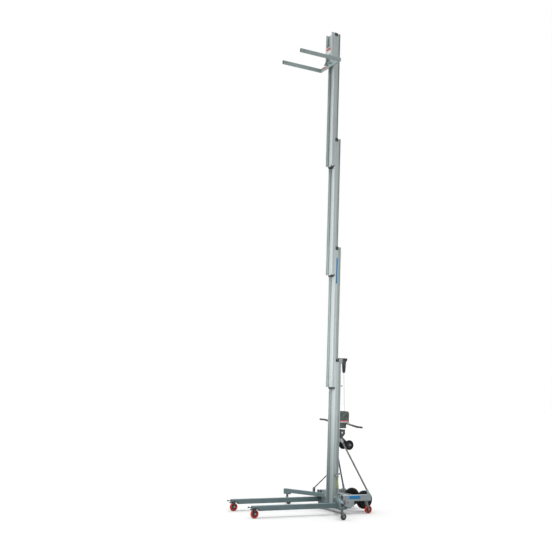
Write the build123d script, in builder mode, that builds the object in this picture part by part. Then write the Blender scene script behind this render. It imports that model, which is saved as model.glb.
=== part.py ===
from build123d import *
from math import asin, atan2, cos, degrees, hypot, pi, radians, sin
import os

# Material lift, fully raised: four nested columns on a wheeled base.
# Origin: on the floor, under the middle of the lift's outline. Units are millimetres.
# +Z is up, -Y is the way the forks point, +X is the lift's left hand side seen from behind.

# Mast columns
column_count = 4
column_length = 1867.0
column_floor = 100.0
column_lap = 375.0
column_width = 160.0
column_depth = 91.0
column_wall = 4.0
neck_width = 128.0
flange_width = 149.0
flange_thick = 5.0
rear_groove_width = 60.0
nest_gap = 1.0
lip_gap = 1.5
side_groove_width = 9.0
side_groove_depth = 1.2
corner_radius = 2.5
guide_height = 20.0
guide_gap = 0.5
guide_bar_thick = 5.0
keeper_height = 44.0
keeper_thick = 3.0

# Carriage and forks
carriage_length = 426.0
fork_width = 520.0
fork_reach = 616.0
fork_height = 50.0
fork_thick = 25.0
fork_wall = 3.0
fork_hole_radius = 6.5
fork_hole_inset = 45.0
crossbar_gap = 6.5
gusset_radius = 95.0
gusset_thick = 6.0
gusset_spacing = 96.0

# Base
leg_spacing = 597.0
leg_width = 50.0
leg_height = 60.0
leg_bottom = 85.0
leg_wall = 3.0
leg_tip = 1346.0
leg_root = 30.0
front_axle_reach = 1310.0
front_arch_radius = 68.0
front_roof = 118.0
bumper_length = 54.0
bumper_radius = 8.0
rear_arm_height = 75.0
rear_arm_bottom = 160.0
rear_arm_front = 80.0
rear_arm_rear = 345.0
rear_caster_reach = 290.0
low_beam_height = 45.0
low_beam_bottom = 50.0
beam_wall = 4.0
high_beam_depth = 40.0
rear_beam_reach = 180.0
rear_beam_depth = 40.0
rear_beam_height = 50.0
side_plate_thick = 5.0
side_plate_rear = 88.0
side_plate_front = 66.0
side_plate_bottom = 92.0

# Wheels and casters
caster_radius = 50.0
caster_width = 32.0
small_caster_radius = 37.5
small_caster_width = 25.0
caster_trail = 32.0
small_caster_trail = 24.0
caster_plate_thick = 5.0
transport_radius = 118.0
transport_width = 55.0
transport_spacing = 300.0
transport_reach = 355.0
transport_axle_height = 150.0
transport_arm_thick = 6.0
transport_arm_gap = 4.0
loading_radius = 63.0
loading_width = 30.0
loading_spacing = 150.0
loading_reach = 154.0
loading_drop = 67.0
loading_rise = 201.0
loading_depth = 106.0
loading_hole_radius = 13.0
loading_plate_spacing = 81.0
axle_radius = 8.0
running_gap = 0.08
side_gap = 0.5

# Winch
drum_reach = 85.0
drum_rise = 67.0
crank_reach = 62.0
crank_rise = 69.0
winch_gap = 8.0
crank_length = 150.0
crank_drop_angle = 14.3
crank_offset = 165.0
crank_bar_width = 24.0
crank_bar_thick = 8.0
grip_length = 122.0
grip_radius = 13.0
grip_pin_radius = 5.0
winch_width = 90.0
winch_plate_thick = 5.0
winch_plate_margin = 22.0
gear_teeth = 44
pinion_teeth = 12
gear_thick = 10.0
tooth_backlash = 0.5
drum_core_radius = 20.0
drum_flange_radius = 46.0
drum_flange_thick = 4.0
cover_margin = 8.0
cover_headroom = 33.3
cover_gap = 2.3
cover_corner = 34.0
cover_foot_gap = 42.0
cover_waist_rise = 13.0
cover_wall = 2.5
cover_slot_width = 16.0
cover_slot_length = 30.0

# Cable and pulleys
cable_radius = 2.5
cable_clearance = 0.3
sheave_radius = 23.0
sheave_groove_radius = 19.5
sheave_width = 14.0
sheave_inset = 30.0
sheave_drop = 30.0
low_sheave_inset = 26.0
rear_pulley_radius = 23.0
rear_pulley_groove_radius = 19.5
rear_pulley_reach = 62.0
pulley_pin_radius = 6.0
bracket_plate_thick = 5.0
bracket_tail_height = 1786.0
bracket_reach = 133.0
bracket_top_gap = 13.0

# Stabilizers
stabilizer_splay = 26.0
stabilizer_reach = 645.0
stabilizer_tube = 50.0
stabilizer_wall = 3.0
stabilizer_pivot_side = 118.0
stabilizer_pivot_reach = 45.0
stabilizer_bottom = 155.0
drop_length = 90.0
drop_clearance = 60.0
strut_foot_reach = 213.0
strut_foot_rise = 50.0
strut_length = 294.0
strut_lean = 42.8
strut_radius = 8.0
strap_rear = 34.0
strap_height = 18.0
strap_knob_radius = 10.0
lug_thick = 5.0

# Braces
brace_radius = 11.0
brace_wall = 2.0
brace_top_side = 84.0
brace_top_reach = 26.0
brace_top_height = 912.0
brace_foot_reach = 317.0
brace_pad_length = 44.0
brace_foot_height = 262.0
brace_collar_wall = 4.0
brace_collar_length = 36.0

# Rest peg
peg_side = 50.0
peg_height = 1612.0
peg_reach = 40.0
peg_radius = 8.0
peg_head = 12.0
peg_flange = 4.0

# Worked out from the sizes above
column_step = (column_depth + column_wall + 2 * nest_gap) / 2
neck_depth = column_depth - column_step + nest_gap
column_rise = column_length - column_lap
lip_opening = neck_width + 2 * lip_gap
cavity_width = column_width - 2 * column_wall
front_reach = leg_tip + bumper_length
rear_reach = transport_reach + transport_radius
mast_y = (front_reach - rear_reach) / 2
leg_x = leg_spacing / 2
leg_top = leg_bottom + leg_height
mount_plate_thick = 6.0
column_top = column_floor + column_length
carriage_bottom = column_floor + (column_count - 1) * column_rise + column_length - carriage_length
fork_bottom = carriage_bottom - fork_height
sheave_height = column_top - sheave_drop
cable_sheave_radius = sheave_groove_radius + cable_radius + cable_clearance
cable_pulley_radius = rear_pulley_groove_radius + cable_radius + cable_clearance
wound_radius = drum_core_radius + 4 * cable_radius
cable_drum_radius = wound_radius + cable_radius + cable_clearance
cable_level = sheave_height + cable_sheave_radius
rear_pulley_height = cable_level - cable_pulley_radius
loading_height = brace_top_height - loading_drop
loading_top = loading_height + loading_rise
mount_bottom = loading_top + winch_gap
crank_height = mount_bottom + crank_rise
drum_height = crank_height + drum_rise
gear_module = 2 * hypot(drum_reach - crank_reach, drum_rise) / (gear_teeth + pinion_teeth)
gear_outer = gear_module * (gear_teeth + 2) / 2
cover_bottom = mount_bottom + cover_margin
cover_top = drum_height + gear_outer + cover_headroom + cover_wall
cover_rear = drum_reach + gear_outer + cover_gap + cover_wall
cover_foot_rear = crank_reach + cover_foot_gap
cover_waist_height = crank_height + cover_waist_rise
cover_foot_height = crank_height - cover_waist_rise
winch_plate_bottom = mount_bottom + winch_plate_margin

os.makedirs("parts", exist_ok=True)


def save(part, name):
    """Label a finished piece and write it under its own name."""
    part.label = name
    export_step(part, f"parts/{name}.step")


def behind(reach):
    """Y of a point that lies this far behind the rear face of the first column."""
    return mast_y + reach


# Columns: a wide front channel with inturned lips, and a narrower neck with a flanged back.
# Each neck slides inside the front channel of the column behind it.
def column_section(rear_y, bottom):
    """The section sketch of one column, rear face at rear_y, drawn at this height."""
    with BuildSketch(Plane.XY.offset(bottom)) as section:
        front_y = rear_y - column_depth
        shoulder_y = rear_y - neck_depth
        with Locations((0, (front_y + shoulder_y) / 2)):
            Rectangle(column_width, shoulder_y - front_y)
        fillet(section.vertices(), corner_radius)
        with Locations((0, (front_y + shoulder_y) / 2)):
            Rectangle(cavity_width, shoulder_y - front_y - 2 * column_wall, mode=Mode.SUBTRACT)
        with Locations((0, front_y + column_wall / 2)):
            Rectangle(lip_opening, column_wall, mode=Mode.SUBTRACT)
        groove_x = column_width / 2 - side_groove_depth / 2
        with Locations((groove_x, (front_y + shoulder_y) / 2), (-groove_x, (front_y + shoulder_y) / 2)):
            Rectangle(side_groove_depth, side_groove_width, mode=Mode.SUBTRACT)
        with Locations((0, rear_y - neck_depth / 2)):
            Rectangle(neck_width, neck_depth)
        with Locations((0, rear_y - (neck_depth + flange_thick) / 2)):
            Rectangle(neck_width - 2 * column_wall, neck_depth - flange_thick, mode=Mode.SUBTRACT)
        with Locations((0, rear_y - flange_thick / 2)):
            Rectangle(flange_width, flange_thick)
        with Locations((0, rear_y - flange_thick / 2)):
            Rectangle(rear_groove_width, flange_thick, mode=Mode.SUBTRACT)
    return section.sketch


def sheave_places(index):
    """Y and Z of the sheaves in one column: one at its top, and from column 2 on one at its foot."""
    rear_y = mast_y - index * column_step
    bottom = column_floor + index * column_rise
    places = [(rear_y - sheave_inset, bottom + column_length - sheave_drop)]
    if index > 0:
        places.append((rear_y - low_sheave_inset, bottom + sheave_drop))
    return places


def make_column(index):
    """One column with the sheave pins across its neck and the web notched for the sheaves."""
    rear_y = mast_y - index * column_step
    bottom = column_floor + index * column_rise
    with BuildPart() as column:
        add(column_section(rear_y, bottom))
        extrude(amount=column_length)
        for pin_y, pin_z in sheave_places(index):
            with BuildSketch(Plane.XZ.offset(-(rear_y - neck_depth + 1))):
                with Locations((0, pin_z)):
                    Rectangle(sheave_width + 10, 4 * sheave_drop)
            extrude(amount=column_wall + 2, mode=Mode.SUBTRACT)
            with BuildSketch(Plane.YZ.offset(-neck_width / 2 + column_wall / 2)):
                with Locations((pin_y, pin_z)):
                    Circle(pulley_pin_radius)
            extrude(amount=neck_width - column_wall)
    return column.part


def make_pads(index):
    """The plastic pads of one column: a guide block under it and two keepers at its top."""
    rear_y = mast_y - index * column_step
    front_y = rear_y - column_depth
    behind_front_y = rear_y + column_step - column_depth
    cavity_front_y = behind_front_y + column_wall + guide_gap
    start = column_floor + min(index, column_count - 1) * column_rise
    bottom = start if index < column_count else carriage_bottom
    top = start + column_length
    bar_front_y = behind_front_y - nest_gap / 2 - guide_bar_thick
    with BuildPart() as pads:
        if index > 0:
            with BuildSketch(Plane.XY.offset(bottom - guide_height)):
                with Locations((0, (rear_y + cavity_front_y) / 2)):
                    Rectangle(flange_width, rear_y - cavity_front_y)
                with Locations((0, (rear_y + bar_front_y) / 2)):
                    Rectangle(neck_width, rear_y - bar_front_y)
                with Locations((0, bar_front_y + guide_bar_thick / 2)):
                    Rectangle(column_width, guide_bar_thick)
                with Locations((0, rear_y - neck_depth / 4)):
                    Rectangle(rear_groove_width, neck_depth / 2, mode=Mode.SUBTRACT)
            extrude(amount=guide_height)
        if index < column_count:
            for side in (-1, 1):
                start_x = column_width / 2 if side > 0 else -column_width / 2 - keeper_thick
                with BuildSketch(Plane.YZ.offset(start_x)):
                    with Locations(((front_y + rear_y - neck_depth) / 2, top - keeper_height / 2)):
                        Rectangle(column_depth - neck_depth - 2 * corner_radius, keeper_height)
                extrude(amount=keeper_thick)
    return pads.part


for number in range(column_count):
    save(make_column(number), f"mast_column_{number + 1}")
for number in range(column_count):
    save(make_pads(number), f"column_pads_{number + 1}")
save(make_pads(column_count), "carriage_pads")


# Carriage: a short length of the same section in the channel of the last column.
carriage_rear_y = mast_y - column_count * column_step
carriage_front_y = carriage_rear_y - column_depth
crossbar_back_y = carriage_rear_y + column_step - column_depth - crossbar_gap
with BuildPart() as carriage:
    add(column_section(carriage_rear_y, carriage_bottom))
    extrude(amount=carriage_length)
save(carriage.part, "carriage")

# Fork frame: a crossbar under the carriage, two curved gussets and two tube arms.
arm_x = (fork_width - fork_thick) / 2
gusset_x = gusset_spacing / 2
with BuildPart() as crossbar:
    with BuildSketch(Plane.YZ.offset(-fork_width / 2 + fork_thick)):
        with Locations((crossbar_back_y - fork_thick / 2, fork_bottom + fork_height / 2)):
            RectangleRounded(fork_thick, fork_height, 3)
            Rectangle(fork_thick - 2 * fork_wall, fork_height - 2 * fork_wall, mode=Mode.SUBTRACT)
    extrude(amount=fork_width - 2 * fork_thick)
    for side in (-1, 1):
        with BuildSketch(Plane.YZ.offset(side * gusset_x - gusset_thick / 2)):
            with BuildLine():
                foot = (carriage_front_y, fork_bottom + fork_height)
                head = (carriage_front_y, fork_bottom + fork_height + gusset_radius)
                toe = (carriage_front_y - gusset_radius * 0.45, fork_bottom + fork_height / 2)
                heel = (crossbar_back_y - fork_thick, fork_bottom + fork_height / 2)
                bend = (carriage_front_y - gusset_radius * 0.16, fork_bottom + fork_height + gusset_radius * 0.3)
                ThreePointArc(head, bend, toe)
                Polyline(toe, heel, (heel[0], foot[1]), foot, head)
            make_face()
        extrude(amount=gusset_thick)
save(crossbar.part, "fork_crossbar")


def make_fork_arm(side):
    """One fork arm: a rectangular tube with a cross hole near its tip."""
    tip_y = crossbar_back_y - fork_reach
    with BuildPart() as arm:
        with BuildSketch(Plane.XZ.offset(-crossbar_back_y)):
            with Locations((side * arm_x, fork_bottom + fork_height / 2)):
                RectangleRounded(fork_thick, fork_height, 3)
                Rectangle(fork_thick - 2 * fork_wall, fork_height - 2 * fork_wall, mode=Mode.SUBTRACT)
        extrude(amount=fork_reach)
        with BuildSketch(Plane.YZ.offset(side * arm_x - fork_thick)):
            with Locations((tip_y + fork_hole_inset, fork_bottom + fork_height / 2)):
                Circle(fork_hole_radius)
        extrude(amount=2 * fork_thick, mode=Mode.SUBTRACT)
    return arm.part


save(make_fork_arm(1), "fork_arm_left")
save(make_fork_arm(-1), "fork_arm_right")


# Sheaves: one at each column's top, one at each inner column's foot, and one behind the mast.
def make_sheave(y, z, radius, groove_radius):
    """A grooved pulley on a bushed pin that runs along X."""
    half = sheave_width / 2
    floor = cable_radius + cable_clearance
    with BuildPart() as sheave:
        with BuildSketch(Plane.XY.offset(z)):
            with BuildLine():
                bore = y + pulley_pin_radius + running_gap
                Polyline((-half, bore), (-half, y + radius), (-half + 1.5, y + radius),
                         (-floor, y + groove_radius), (floor, y + groove_radius),
                         (half - 1.5, y + radius), (half, y + radius), (half, bore), close=True)
            make_face()
        revolve(axis=Axis((0, y, z), (1, 0, 0)))
    return sheave.part


for number in range(column_count):
    for (sheave_y, sheave_z), level in zip(sheave_places(number), ("upper", "lower")):
        save(make_sheave(sheave_y, sheave_z, sheave_radius, sheave_groove_radius),
             f"{level}_sheave_{number + 1}")
rear_pulley = make_sheave(behind(rear_pulley_reach), rear_pulley_height, rear_pulley_radius,
                          rear_pulley_groove_radius)
save(rear_pulley, "rear_pulley")

# Top bracket: two tapering cheeks that hang behind the mast and carry the rear pulley.
bracket_top = column_top + bracket_top_gap
cheek_inner = sheave_width / 2 + 3
with BuildPart() as bracket:
    for side in (-1, 1):
        start = side * cheek_inner if side > 0 else -cheek_inner - bracket_plate_thick
        with BuildSketch(Plane.YZ.offset(start)):
            with BuildLine():
                Polyline((behind(-10), bracket_top), (behind(bracket_reach), bracket_top),
                         (behind(bracket_reach - 4), bracket_top - 28),
                         (behind(bracket_reach - 20), bracket_top - 52),
                         (behind(rear_pulley_reach + 42), bracket_tail_height + 16),
                         (behind(rear_pulley_reach + 34), bracket_tail_height),
                         (behind(rear_pulley_reach + 22), bracket_tail_height),
                         (behind(rear_pulley_reach + 14), bracket_tail_height + 16),
                         (behind(rear_pulley_reach + 6), bracket_top - 74),
                         (behind(rear_pulley_reach - 24), bracket_top - 62),
                         (behind(0.3), bracket_top - 36), (behind(0.3), column_top),
                         (behind(-10), column_top), close=True)
            make_face()
        extrude(amount=bracket_plate_thick)
    roof_start = (behind(-10) + behind(bracket_reach)) / 2
    with BuildSketch(Plane.XY.offset(bracket_top - bracket_plate_thick)):
        with Locations((0, roof_start)):
            Rectangle(2 * cheek_inner + 2 * bracket_plate_thick, bracket_reach + 10)
    extrude(amount=bracket_plate_thick)
    with BuildSketch(Plane.XY.offset(column_top)):
        with Locations((0, behind(-5))):
            Rectangle(flange_width - 20, 10)
        with Locations((0, behind(-5))):
            Rectangle(2 * cheek_inner, 10, mode=Mode.SUBTRACT)
    extrude(amount=bracket_top_gap - bracket_plate_thick)
    with BuildSketch(Plane.YZ.offset(-cheek_inner)):
        with Locations((behind(rear_pulley_reach), rear_pulley_height)):
            Circle(pulley_pin_radius)
    extrude(amount=2 * cheek_inner)
save(bracket.part, "top_pulley_bracket")

# Cable: from the drum straight up, over the rear pulley, along the top and over the first sheave.
drum_y = behind(drum_reach)
pulley_y = behind(rear_pulley_reach)
span = hypot(drum_y - pulley_y, rear_pulley_height - drum_height)
lean = atan2(drum_y - pulley_y, rear_pulley_height - drum_height)
lean = lean + asin((cable_drum_radius - cable_pulley_radius) / span)
leave_y = drum_y + cable_drum_radius * cos(lean)
leave_z = drum_height + cable_drum_radius * sin(lean)
meet_y = pulley_y + cable_pulley_radius * cos(lean)
meet_z = rear_pulley_height + cable_pulley_radius * sin(lean)
first_sheave_y = mast_y - sheave_inset
with BuildPart() as cable:
    with BuildLine(Plane.YZ) as route:
        rise = Line((leave_y, leave_z), (meet_y, meet_z))
        over = CenterArc((pulley_y, rear_pulley_height), cable_pulley_radius, degrees(lean),
                         90 - degrees(lean))
        level = Line((pulley_y, cable_level), (first_sheave_y, cable_level))
        turn = CenterArc((first_sheave_y, sheave_height), cable_sheave_radius, 90, 90)
    with BuildSketch(Plane(origin=(0, leave_y, leave_z), z_dir=(0, meet_y - leave_y, meet_z - leave_z))):
        Circle(cable_radius)
    sweep(path=route.wire())
save(cable.part, "winch_cable")


# Winch: two side plates on the mast, a drum with its gear, a crank shaft with its pinion.
def gear_outline(teeth, module, thin):
    """Points of an involute gear, one tooth at a time, with each flank thinned by backlash."""
    pitch = module * teeth / 2
    base = pitch * cos(radians(20))
    outer = pitch + module
    root = pitch - 1.25 * module
    half = pi / (2 * teeth) - thin / (2 * pitch)
    spread = (outer / base) ** 2 - 1
    steps = [max(0.0, ((pitch - 0.75 * module) / base) ** 2 - 1) ** 0.5, ((pitch / base) ** 2 - 1) ** 0.5,
             spread ** 0.5]
    lead = steps[1] - atan2(steps[1], 1)
    points = []
    for tooth in range(teeth):
        centre = 2 * pi * tooth / teeth
        flank = []
        for roll in steps:
            radius = base * (1 + roll * roll) ** 0.5
            flank.append((radius, half + lead - (roll - atan2(roll, 1))))
        low = flank[0][1]
        left = [(root, -low)] + [(r, -a) for r, a in flank]
        right = [(r, a) for r, a in reversed(flank)] + [(root, low)]
        for radius, angle in left + right:
            points.append((radius * cos(centre + angle), radius * sin(centre + angle)))
    return points


def gear_points(teeth, y, z, phase):
    """The gear's outline as YZ points around y, z, turned by phase degrees."""
    turn = radians(phase)
    return [(y + u * cos(turn) - v * sin(turn), z + u * sin(turn) + v * cos(turn))
            for u, v in gear_outline(teeth, gear_module, tooth_backlash)]


plate_x = winch_width / 2
crank_y = behind(crank_reach)
line_of_centres = degrees(atan2(crank_height - drum_height, crank_y - drum_y))
gear_phase = line_of_centres
pinion_phase = line_of_centres + 180 + 180 / pinion_teeth
gear_start = plate_x + winch_plate_thick + 2
with BuildPart() as winch_frame:
    with BuildSketch(Plane.XZ.offset(-behind(0))):
        with Locations((0, (mount_bottom + cover_top + cover_margin) / 2)):
            RectangleRounded(flange_width - 8, cover_top + cover_margin - mount_bottom, 10)
    extrude(amount=-mount_plate_thick)
    for side in (-1, 1):
        start = plate_x if side > 0 else -plate_x - winch_plate_thick
        with BuildSketch(Plane.YZ.offset(start)):
            with BuildLine():
                Polyline((behind(mount_plate_thick / 2), winch_plate_bottom),
                         (behind(crank_reach + 20), winch_plate_bottom),
                         (behind(crank_reach + 20), crank_height - 12),
                         (behind(drum_reach + drum_flange_radius - 6), drum_height - drum_flange_radius),
                         (behind(drum_reach + drum_flange_radius - 6), drum_height + drum_flange_radius - 12),
                         (behind(drum_reach), drum_height + drum_flange_radius + 14),
                         (behind(mount_plate_thick / 2), drum_height + drum_flange_radius + 14), close=True)
            make_face()
            with Locations((crank_y, crank_height)):
                Circle(axle_radius + running_gap, mode=Mode.SUBTRACT)
        extrude(amount=winch_plate_thick)
    with BuildSketch(Plane.YZ.offset(-plate_x)):
        with Locations((drum_y, drum_height)):
            Circle(axle_radius)
    extrude(amount=winch_width + winch_plate_thick + 2 + gear_thick + 3)
save(winch_frame.part, "winch_frame")

with BuildPart() as drum:
    flange_half = plate_x - side_gap
    with BuildSketch(Plane.YZ.offset(-flange_half)):
        with Locations((drum_y, drum_height)):
            Circle(drum_core_radius)
    extrude(amount=2 * flange_half)
    for start in (-flange_half, flange_half - drum_flange_thick):
        with BuildSketch(Plane.YZ.offset(start)):
            with Locations((drum_y, drum_height)):
                Circle(drum_flange_radius)
        extrude(amount=drum_flange_thick)
    wound_half = flange_half - drum_flange_thick - cable_radius
    with BuildSketch(Plane.YZ.offset(-wound_half)):
        with Locations((drum_y, drum_height)):
            Circle(wound_radius)
    extrude(amount=2 * wound_half)
    with BuildSketch(Plane.YZ.offset(-plate_x)):
        with Locations((drum_y, drum_height)):
            Circle(axle_radius + running_gap)
    extrude(amount=winch_width, mode=Mode.SUBTRACT)
save(drum.part, "winch_drum")

with BuildPart() as gear:
    with BuildSketch(Plane.YZ.offset(gear_start)):
        with BuildLine():
            Polyline(*gear_points(gear_teeth, drum_y, drum_height, gear_phase), close=True)
        make_face()
        with Locations((drum_y, drum_height)):
            Circle(axle_radius + running_gap, mode=Mode.SUBTRACT)
            with PolarLocations(gear_module * gear_teeth / 2 * 0.6, 5):
                Circle(gear_module * 3.6, mode=Mode.SUBTRACT)
    extrude(amount=gear_thick)
save(gear.part, "winch_gear")

grip_y_step = crank_length * cos(radians(crank_drop_angle))
grip_z_step = -crank_length * sin(radians(crank_drop_angle))
crank_bar_start = crank_offset
with BuildPart() as crank:
    with BuildSketch(Plane.YZ.offset(-crank_bar_start)):
        with Locations((crank_y, crank_height)):
            Circle(axle_radius)
    extrude(amount=2 * crank_bar_start)
    with BuildSketch(Plane.YZ.offset(gear_start)):
        with BuildLine():
            Polyline(*gear_points(pinion_teeth, crank_y, crank_height, pinion_phase), close=True)
        make_face()
    extrude(amount=gear_thick)
    for side in (-1, 1):
        start = crank_bar_start if side > 0 else -crank_bar_start - crank_bar_thick
        end_y = crank_y + side * grip_y_step
        end_z = crank_height + side * grip_z_step
        with BuildSketch(Plane.YZ.offset(start)):
            with Locations(Location(((crank_y + end_y) / 2, (crank_height + end_z) / 2),
                                    -crank_drop_angle)):
                SlotCenterToCenter(crank_length, crank_bar_width)
        extrude(amount=crank_bar_thick)
        pin_start = crank_bar_start if side > 0 else -crank_bar_start - crank_bar_thick - grip_length
        with BuildSketch(Plane.YZ.offset(pin_start)):
            with Locations((end_y, end_z)):
                Circle(grip_pin_radius)
        extrude(amount=crank_bar_thick + grip_length)
save(crank.part, "winch_crank")


def make_grip(side):
    """A tapered plastic grip that turns freely on the crank's pin."""
    end_y = crank_y + side * grip_y_step
    end_z = crank_height + side * grip_z_step
    near = crank_bar_start + crank_bar_thick + side_gap
    far = near + grip_length - 2 * side_gap
    with BuildPart() as grip:
        with BuildSketch(Plane.XY.offset(end_z)):
            with BuildLine():
                bore = end_y + grip_pin_radius + running_gap
                Polyline((side * near, bore), (side * near, end_y + grip_radius * 0.75),
                         (side * (near + 12), end_y + grip_radius))
                Spline((side * (near + 12), end_y + grip_radius),
                       (side * (near + grip_length * 0.5), end_y + grip_radius * 0.88),
                       (side * (far - 10), end_y + grip_radius))
                Polyline((side * (far - 10), end_y + grip_radius), (side * far, end_y + grip_radius * 0.7),
                         (side * far, bore), (side * near, bore))
            make_face()
        revolve(axis=Axis((0, end_y, end_z), (1, 0, 0)))
    return grip.part


save(make_grip(1), "crank_grip_left")
save(make_grip(-1), "crank_grip_right")

# Winch cover: a rounded hood over the drum and gear, open towards the mast and below.
cover_left = gear_start + gear_thick + 5
cover_right = -plate_x - winch_plate_thick - 3


def cover_outline(shrink):
    """The hood's side outline, pulled in by shrink on all but its open side."""
    front = behind(mount_plate_thick)
    rear = behind(cover_rear) - shrink
    low = cover_bottom + shrink
    high = cover_top - shrink
    radius = cover_corner - shrink
    foot = behind(cover_foot_rear) - shrink
    run = cover_rear - cover_foot_rear
    drop = cover_waist_height - cover_foot_height
    lift = shrink * (hypot(run, drop) - drop) / run
    with BuildLine() as outline:
        Line((front, high), (rear - radius, high))
        CenterArc((rear - radius, high - radius), radius, 90, -90)
        Polyline((rear, high - radius), (rear, cover_waist_height + lift), (foot, cover_foot_height + lift),
                 (foot, low), (front, low), (front, high))
    return outline.line


with BuildPart() as cover:
    with BuildSketch(Plane.YZ.offset(cover_right - cover_wall)):
        with BuildLine():
            add(cover_outline(0))
        make_face()
    extrude(amount=cover_left - cover_right + 2 * cover_wall)
    fillet(cover.edges().filter_by(GeomType.CIRCLE), 6)
    with BuildSketch(Plane.YZ.offset(cover_right)):
        with BuildLine():
            add(cover_outline(cover_wall))
        make_face()
    extrude(amount=cover_left - cover_right, mode=Mode.SUBTRACT)
    with BuildSketch(Plane.YZ.offset(cover_right - 2 * cover_wall)):
        with Locations((crank_y, crank_height)):
            Circle(axle_radius + 2)
    extrude(amount=cover_left - cover_right + 4 * cover_wall, mode=Mode.SUBTRACT)
    with BuildSketch(Plane.XY.offset(cover_top - 2 * cover_wall)):
        with Locations((0, leave_y - (cover_top - leave_z) * sin(lean) / cos(lean))):
            Rectangle(cover_slot_width, cover_slot_length)
    extrude(amount=3 * cover_wall, mode=Mode.SUBTRACT)
save(cover.part, "winch_cover")

# Loading wheel bracket: two cranked plates with an axle behind the mast.
loading_y = behind(loading_reach)
loading_plate_x = (loading_plate_spacing - winch_plate_thick) / 2
with BuildPart() as loading_bracket:
    for side in (-1, 1):
        start = loading_plate_x if side > 0 else -loading_plate_x - winch_plate_thick
        with BuildSketch(Plane.YZ.offset(start)):
            with BuildLine():
                FilletPolyline((behind(0.3), loading_top), (behind(loading_depth), loading_top),
                               (behind(loading_depth), loading_top - 61),
                               (behind(loading_depth - 36), loading_top - 102),
                               (loading_y + 20, loading_height + 14), (loading_y + 14, loading_height - 20),
                               (loading_y - 22, loading_height - 12), (behind(26), loading_top - 124),
                               (behind(0.3), loading_top - 96), radius=6, close=True)
            make_face()
            with Locations((behind(loading_depth / 2 + 5), loading_top - 42)):
                Circle(loading_hole_radius, mode=Mode.SUBTRACT)
        extrude(amount=winch_plate_thick)
    with BuildSketch(Plane.YZ.offset(-loading_plate_x)):
        with Locations((behind(loading_depth / 2 + 5), loading_top - 82)):
            Circle(axle_radius + 1)
    extrude(amount=2 * loading_plate_x)
    with BuildSketch(Plane.YZ.offset(-loading_spacing / 2 - loading_width / 2 - 22)):
        with Locations((loading_y, loading_height)):
            Circle(axle_radius)
    extrude(amount=loading_spacing + loading_width + 44)
save(loading_bracket.part, "loading_wheel_bracket")


def make_wheel(x, y, z, radius, width, bore, tyre, round_over):
    """A wheel with a rounded tread, a recessed web and a hub, its axle along X."""
    half = width / 2
    web = width * 0.18
    hub = bore + 9
    rim = radius - tyre
    with BuildPart() as wheel:
        with BuildSketch(Plane.XY.offset(z)) as profile:
            with BuildLine():
                Polyline((x - half, y + bore), (x - half, y + hub), (x - web, y + hub + 3),
                         (x - web, y + rim - 3), (x - half + 1, y + rim), (x - half + 1, y + radius - round_over),
                         (x - half + round_over, y + radius), (x + half - round_over, y + radius),
                         (x + half - 1, y + radius - round_over), (x + half - 1, y + rim),
                         (x + web, y + rim - 3), (x + web, y + hub + 3), (x + half, y + hub),
                         (x + half, y + bore), close=True)
            make_face()
        revolve(axis=Axis((0, y, z), (1, 0, 0)))
    return wheel.part


for side, name in ((1, "loading_wheel_left"), (-1, "loading_wheel_right")):
    save(make_wheel(side * loading_spacing / 2, loading_y, loading_height, loading_radius, loading_width,
                    axle_radius + running_gap, 14, 8), name)

# Base frame: low beam under the mast, high beam behind it and the plates that clamp the legs.
inner_x = leg_x - leg_width / 2
outer_x = leg_x + leg_width / 2
arm_top = rear_arm_bottom + rear_arm_height
with BuildPart() as base_frame:
    with BuildSketch(Plane.YZ.offset(-inner_x + side_plate_thick)):
        with Locations((behind(-column_depth / 2), low_beam_bottom + low_beam_height / 2)):
            Rectangle(column_depth, low_beam_height)
            Rectangle(column_depth - 2 * beam_wall, low_beam_height - 2 * beam_wall, mode=Mode.SUBTRACT)
    extrude(amount=2 * inner_x - 2 * side_plate_thick)
    with BuildSketch(Plane.YZ.offset(-inner_x + side_plate_thick)):
        with Locations((behind(high_beam_depth / 2), rear_arm_bottom + rear_arm_height / 2)):
            Rectangle(high_beam_depth, rear_arm_height)
            Rectangle(high_beam_depth - 2 * beam_wall, rear_arm_height - 2 * beam_wall, mode=Mode.SUBTRACT)
    extrude(amount=2 * inner_x - 2 * side_plate_thick)
    with BuildSketch(Plane.XY.offset(low_beam_bottom + low_beam_height)):
        with Locations((0, behind(-column_depth / 2))):
            Rectangle(column_width + 30, column_depth)
    extrude(amount=column_floor - low_beam_bottom - low_beam_height)
    for side in (-1, 1):
        start = inner_x - side_plate_thick if side > 0 else -inner_x
        with BuildSketch(Plane.YZ.offset(start)):
            with BuildLine():
                Polyline((behind(-column_depth), low_beam_bottom), (behind(0), low_beam_bottom),
                         (behind(high_beam_depth + 30), rear_arm_bottom + 10),
                         (behind(high_beam_depth + 30), arm_top), (behind(-side_plate_front), arm_top),
                         (behind(-side_plate_front), leg_top + 5), (behind(-column_depth), leg_top), close=True)
            make_face()
        extrude(amount=side_plate_thick)
        start = outer_x if side > 0 else -outer_x - side_plate_thick
        with BuildSketch(Plane.YZ.offset(start)):
            with Locations((behind((side_plate_rear - side_plate_front) / 2),
                            (side_plate_bottom + rear_arm_bottom + 14) / 2)):
                RectangleRounded(side_plate_rear + side_plate_front, rear_arm_bottom + 14 - side_plate_bottom, 8)
        extrude(amount=side_plate_thick)
        with BuildSketch(Plane.YZ.offset(side * leg_x - leg_width / 2)):
            with Locations((behind(20), leg_bottom + leg_height / 2)):
                Rectangle(60, leg_height + 2 * (rear_arm_bottom - leg_top))
        extrude(amount=leg_width)
save(base_frame.part, "base_frame")


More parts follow.
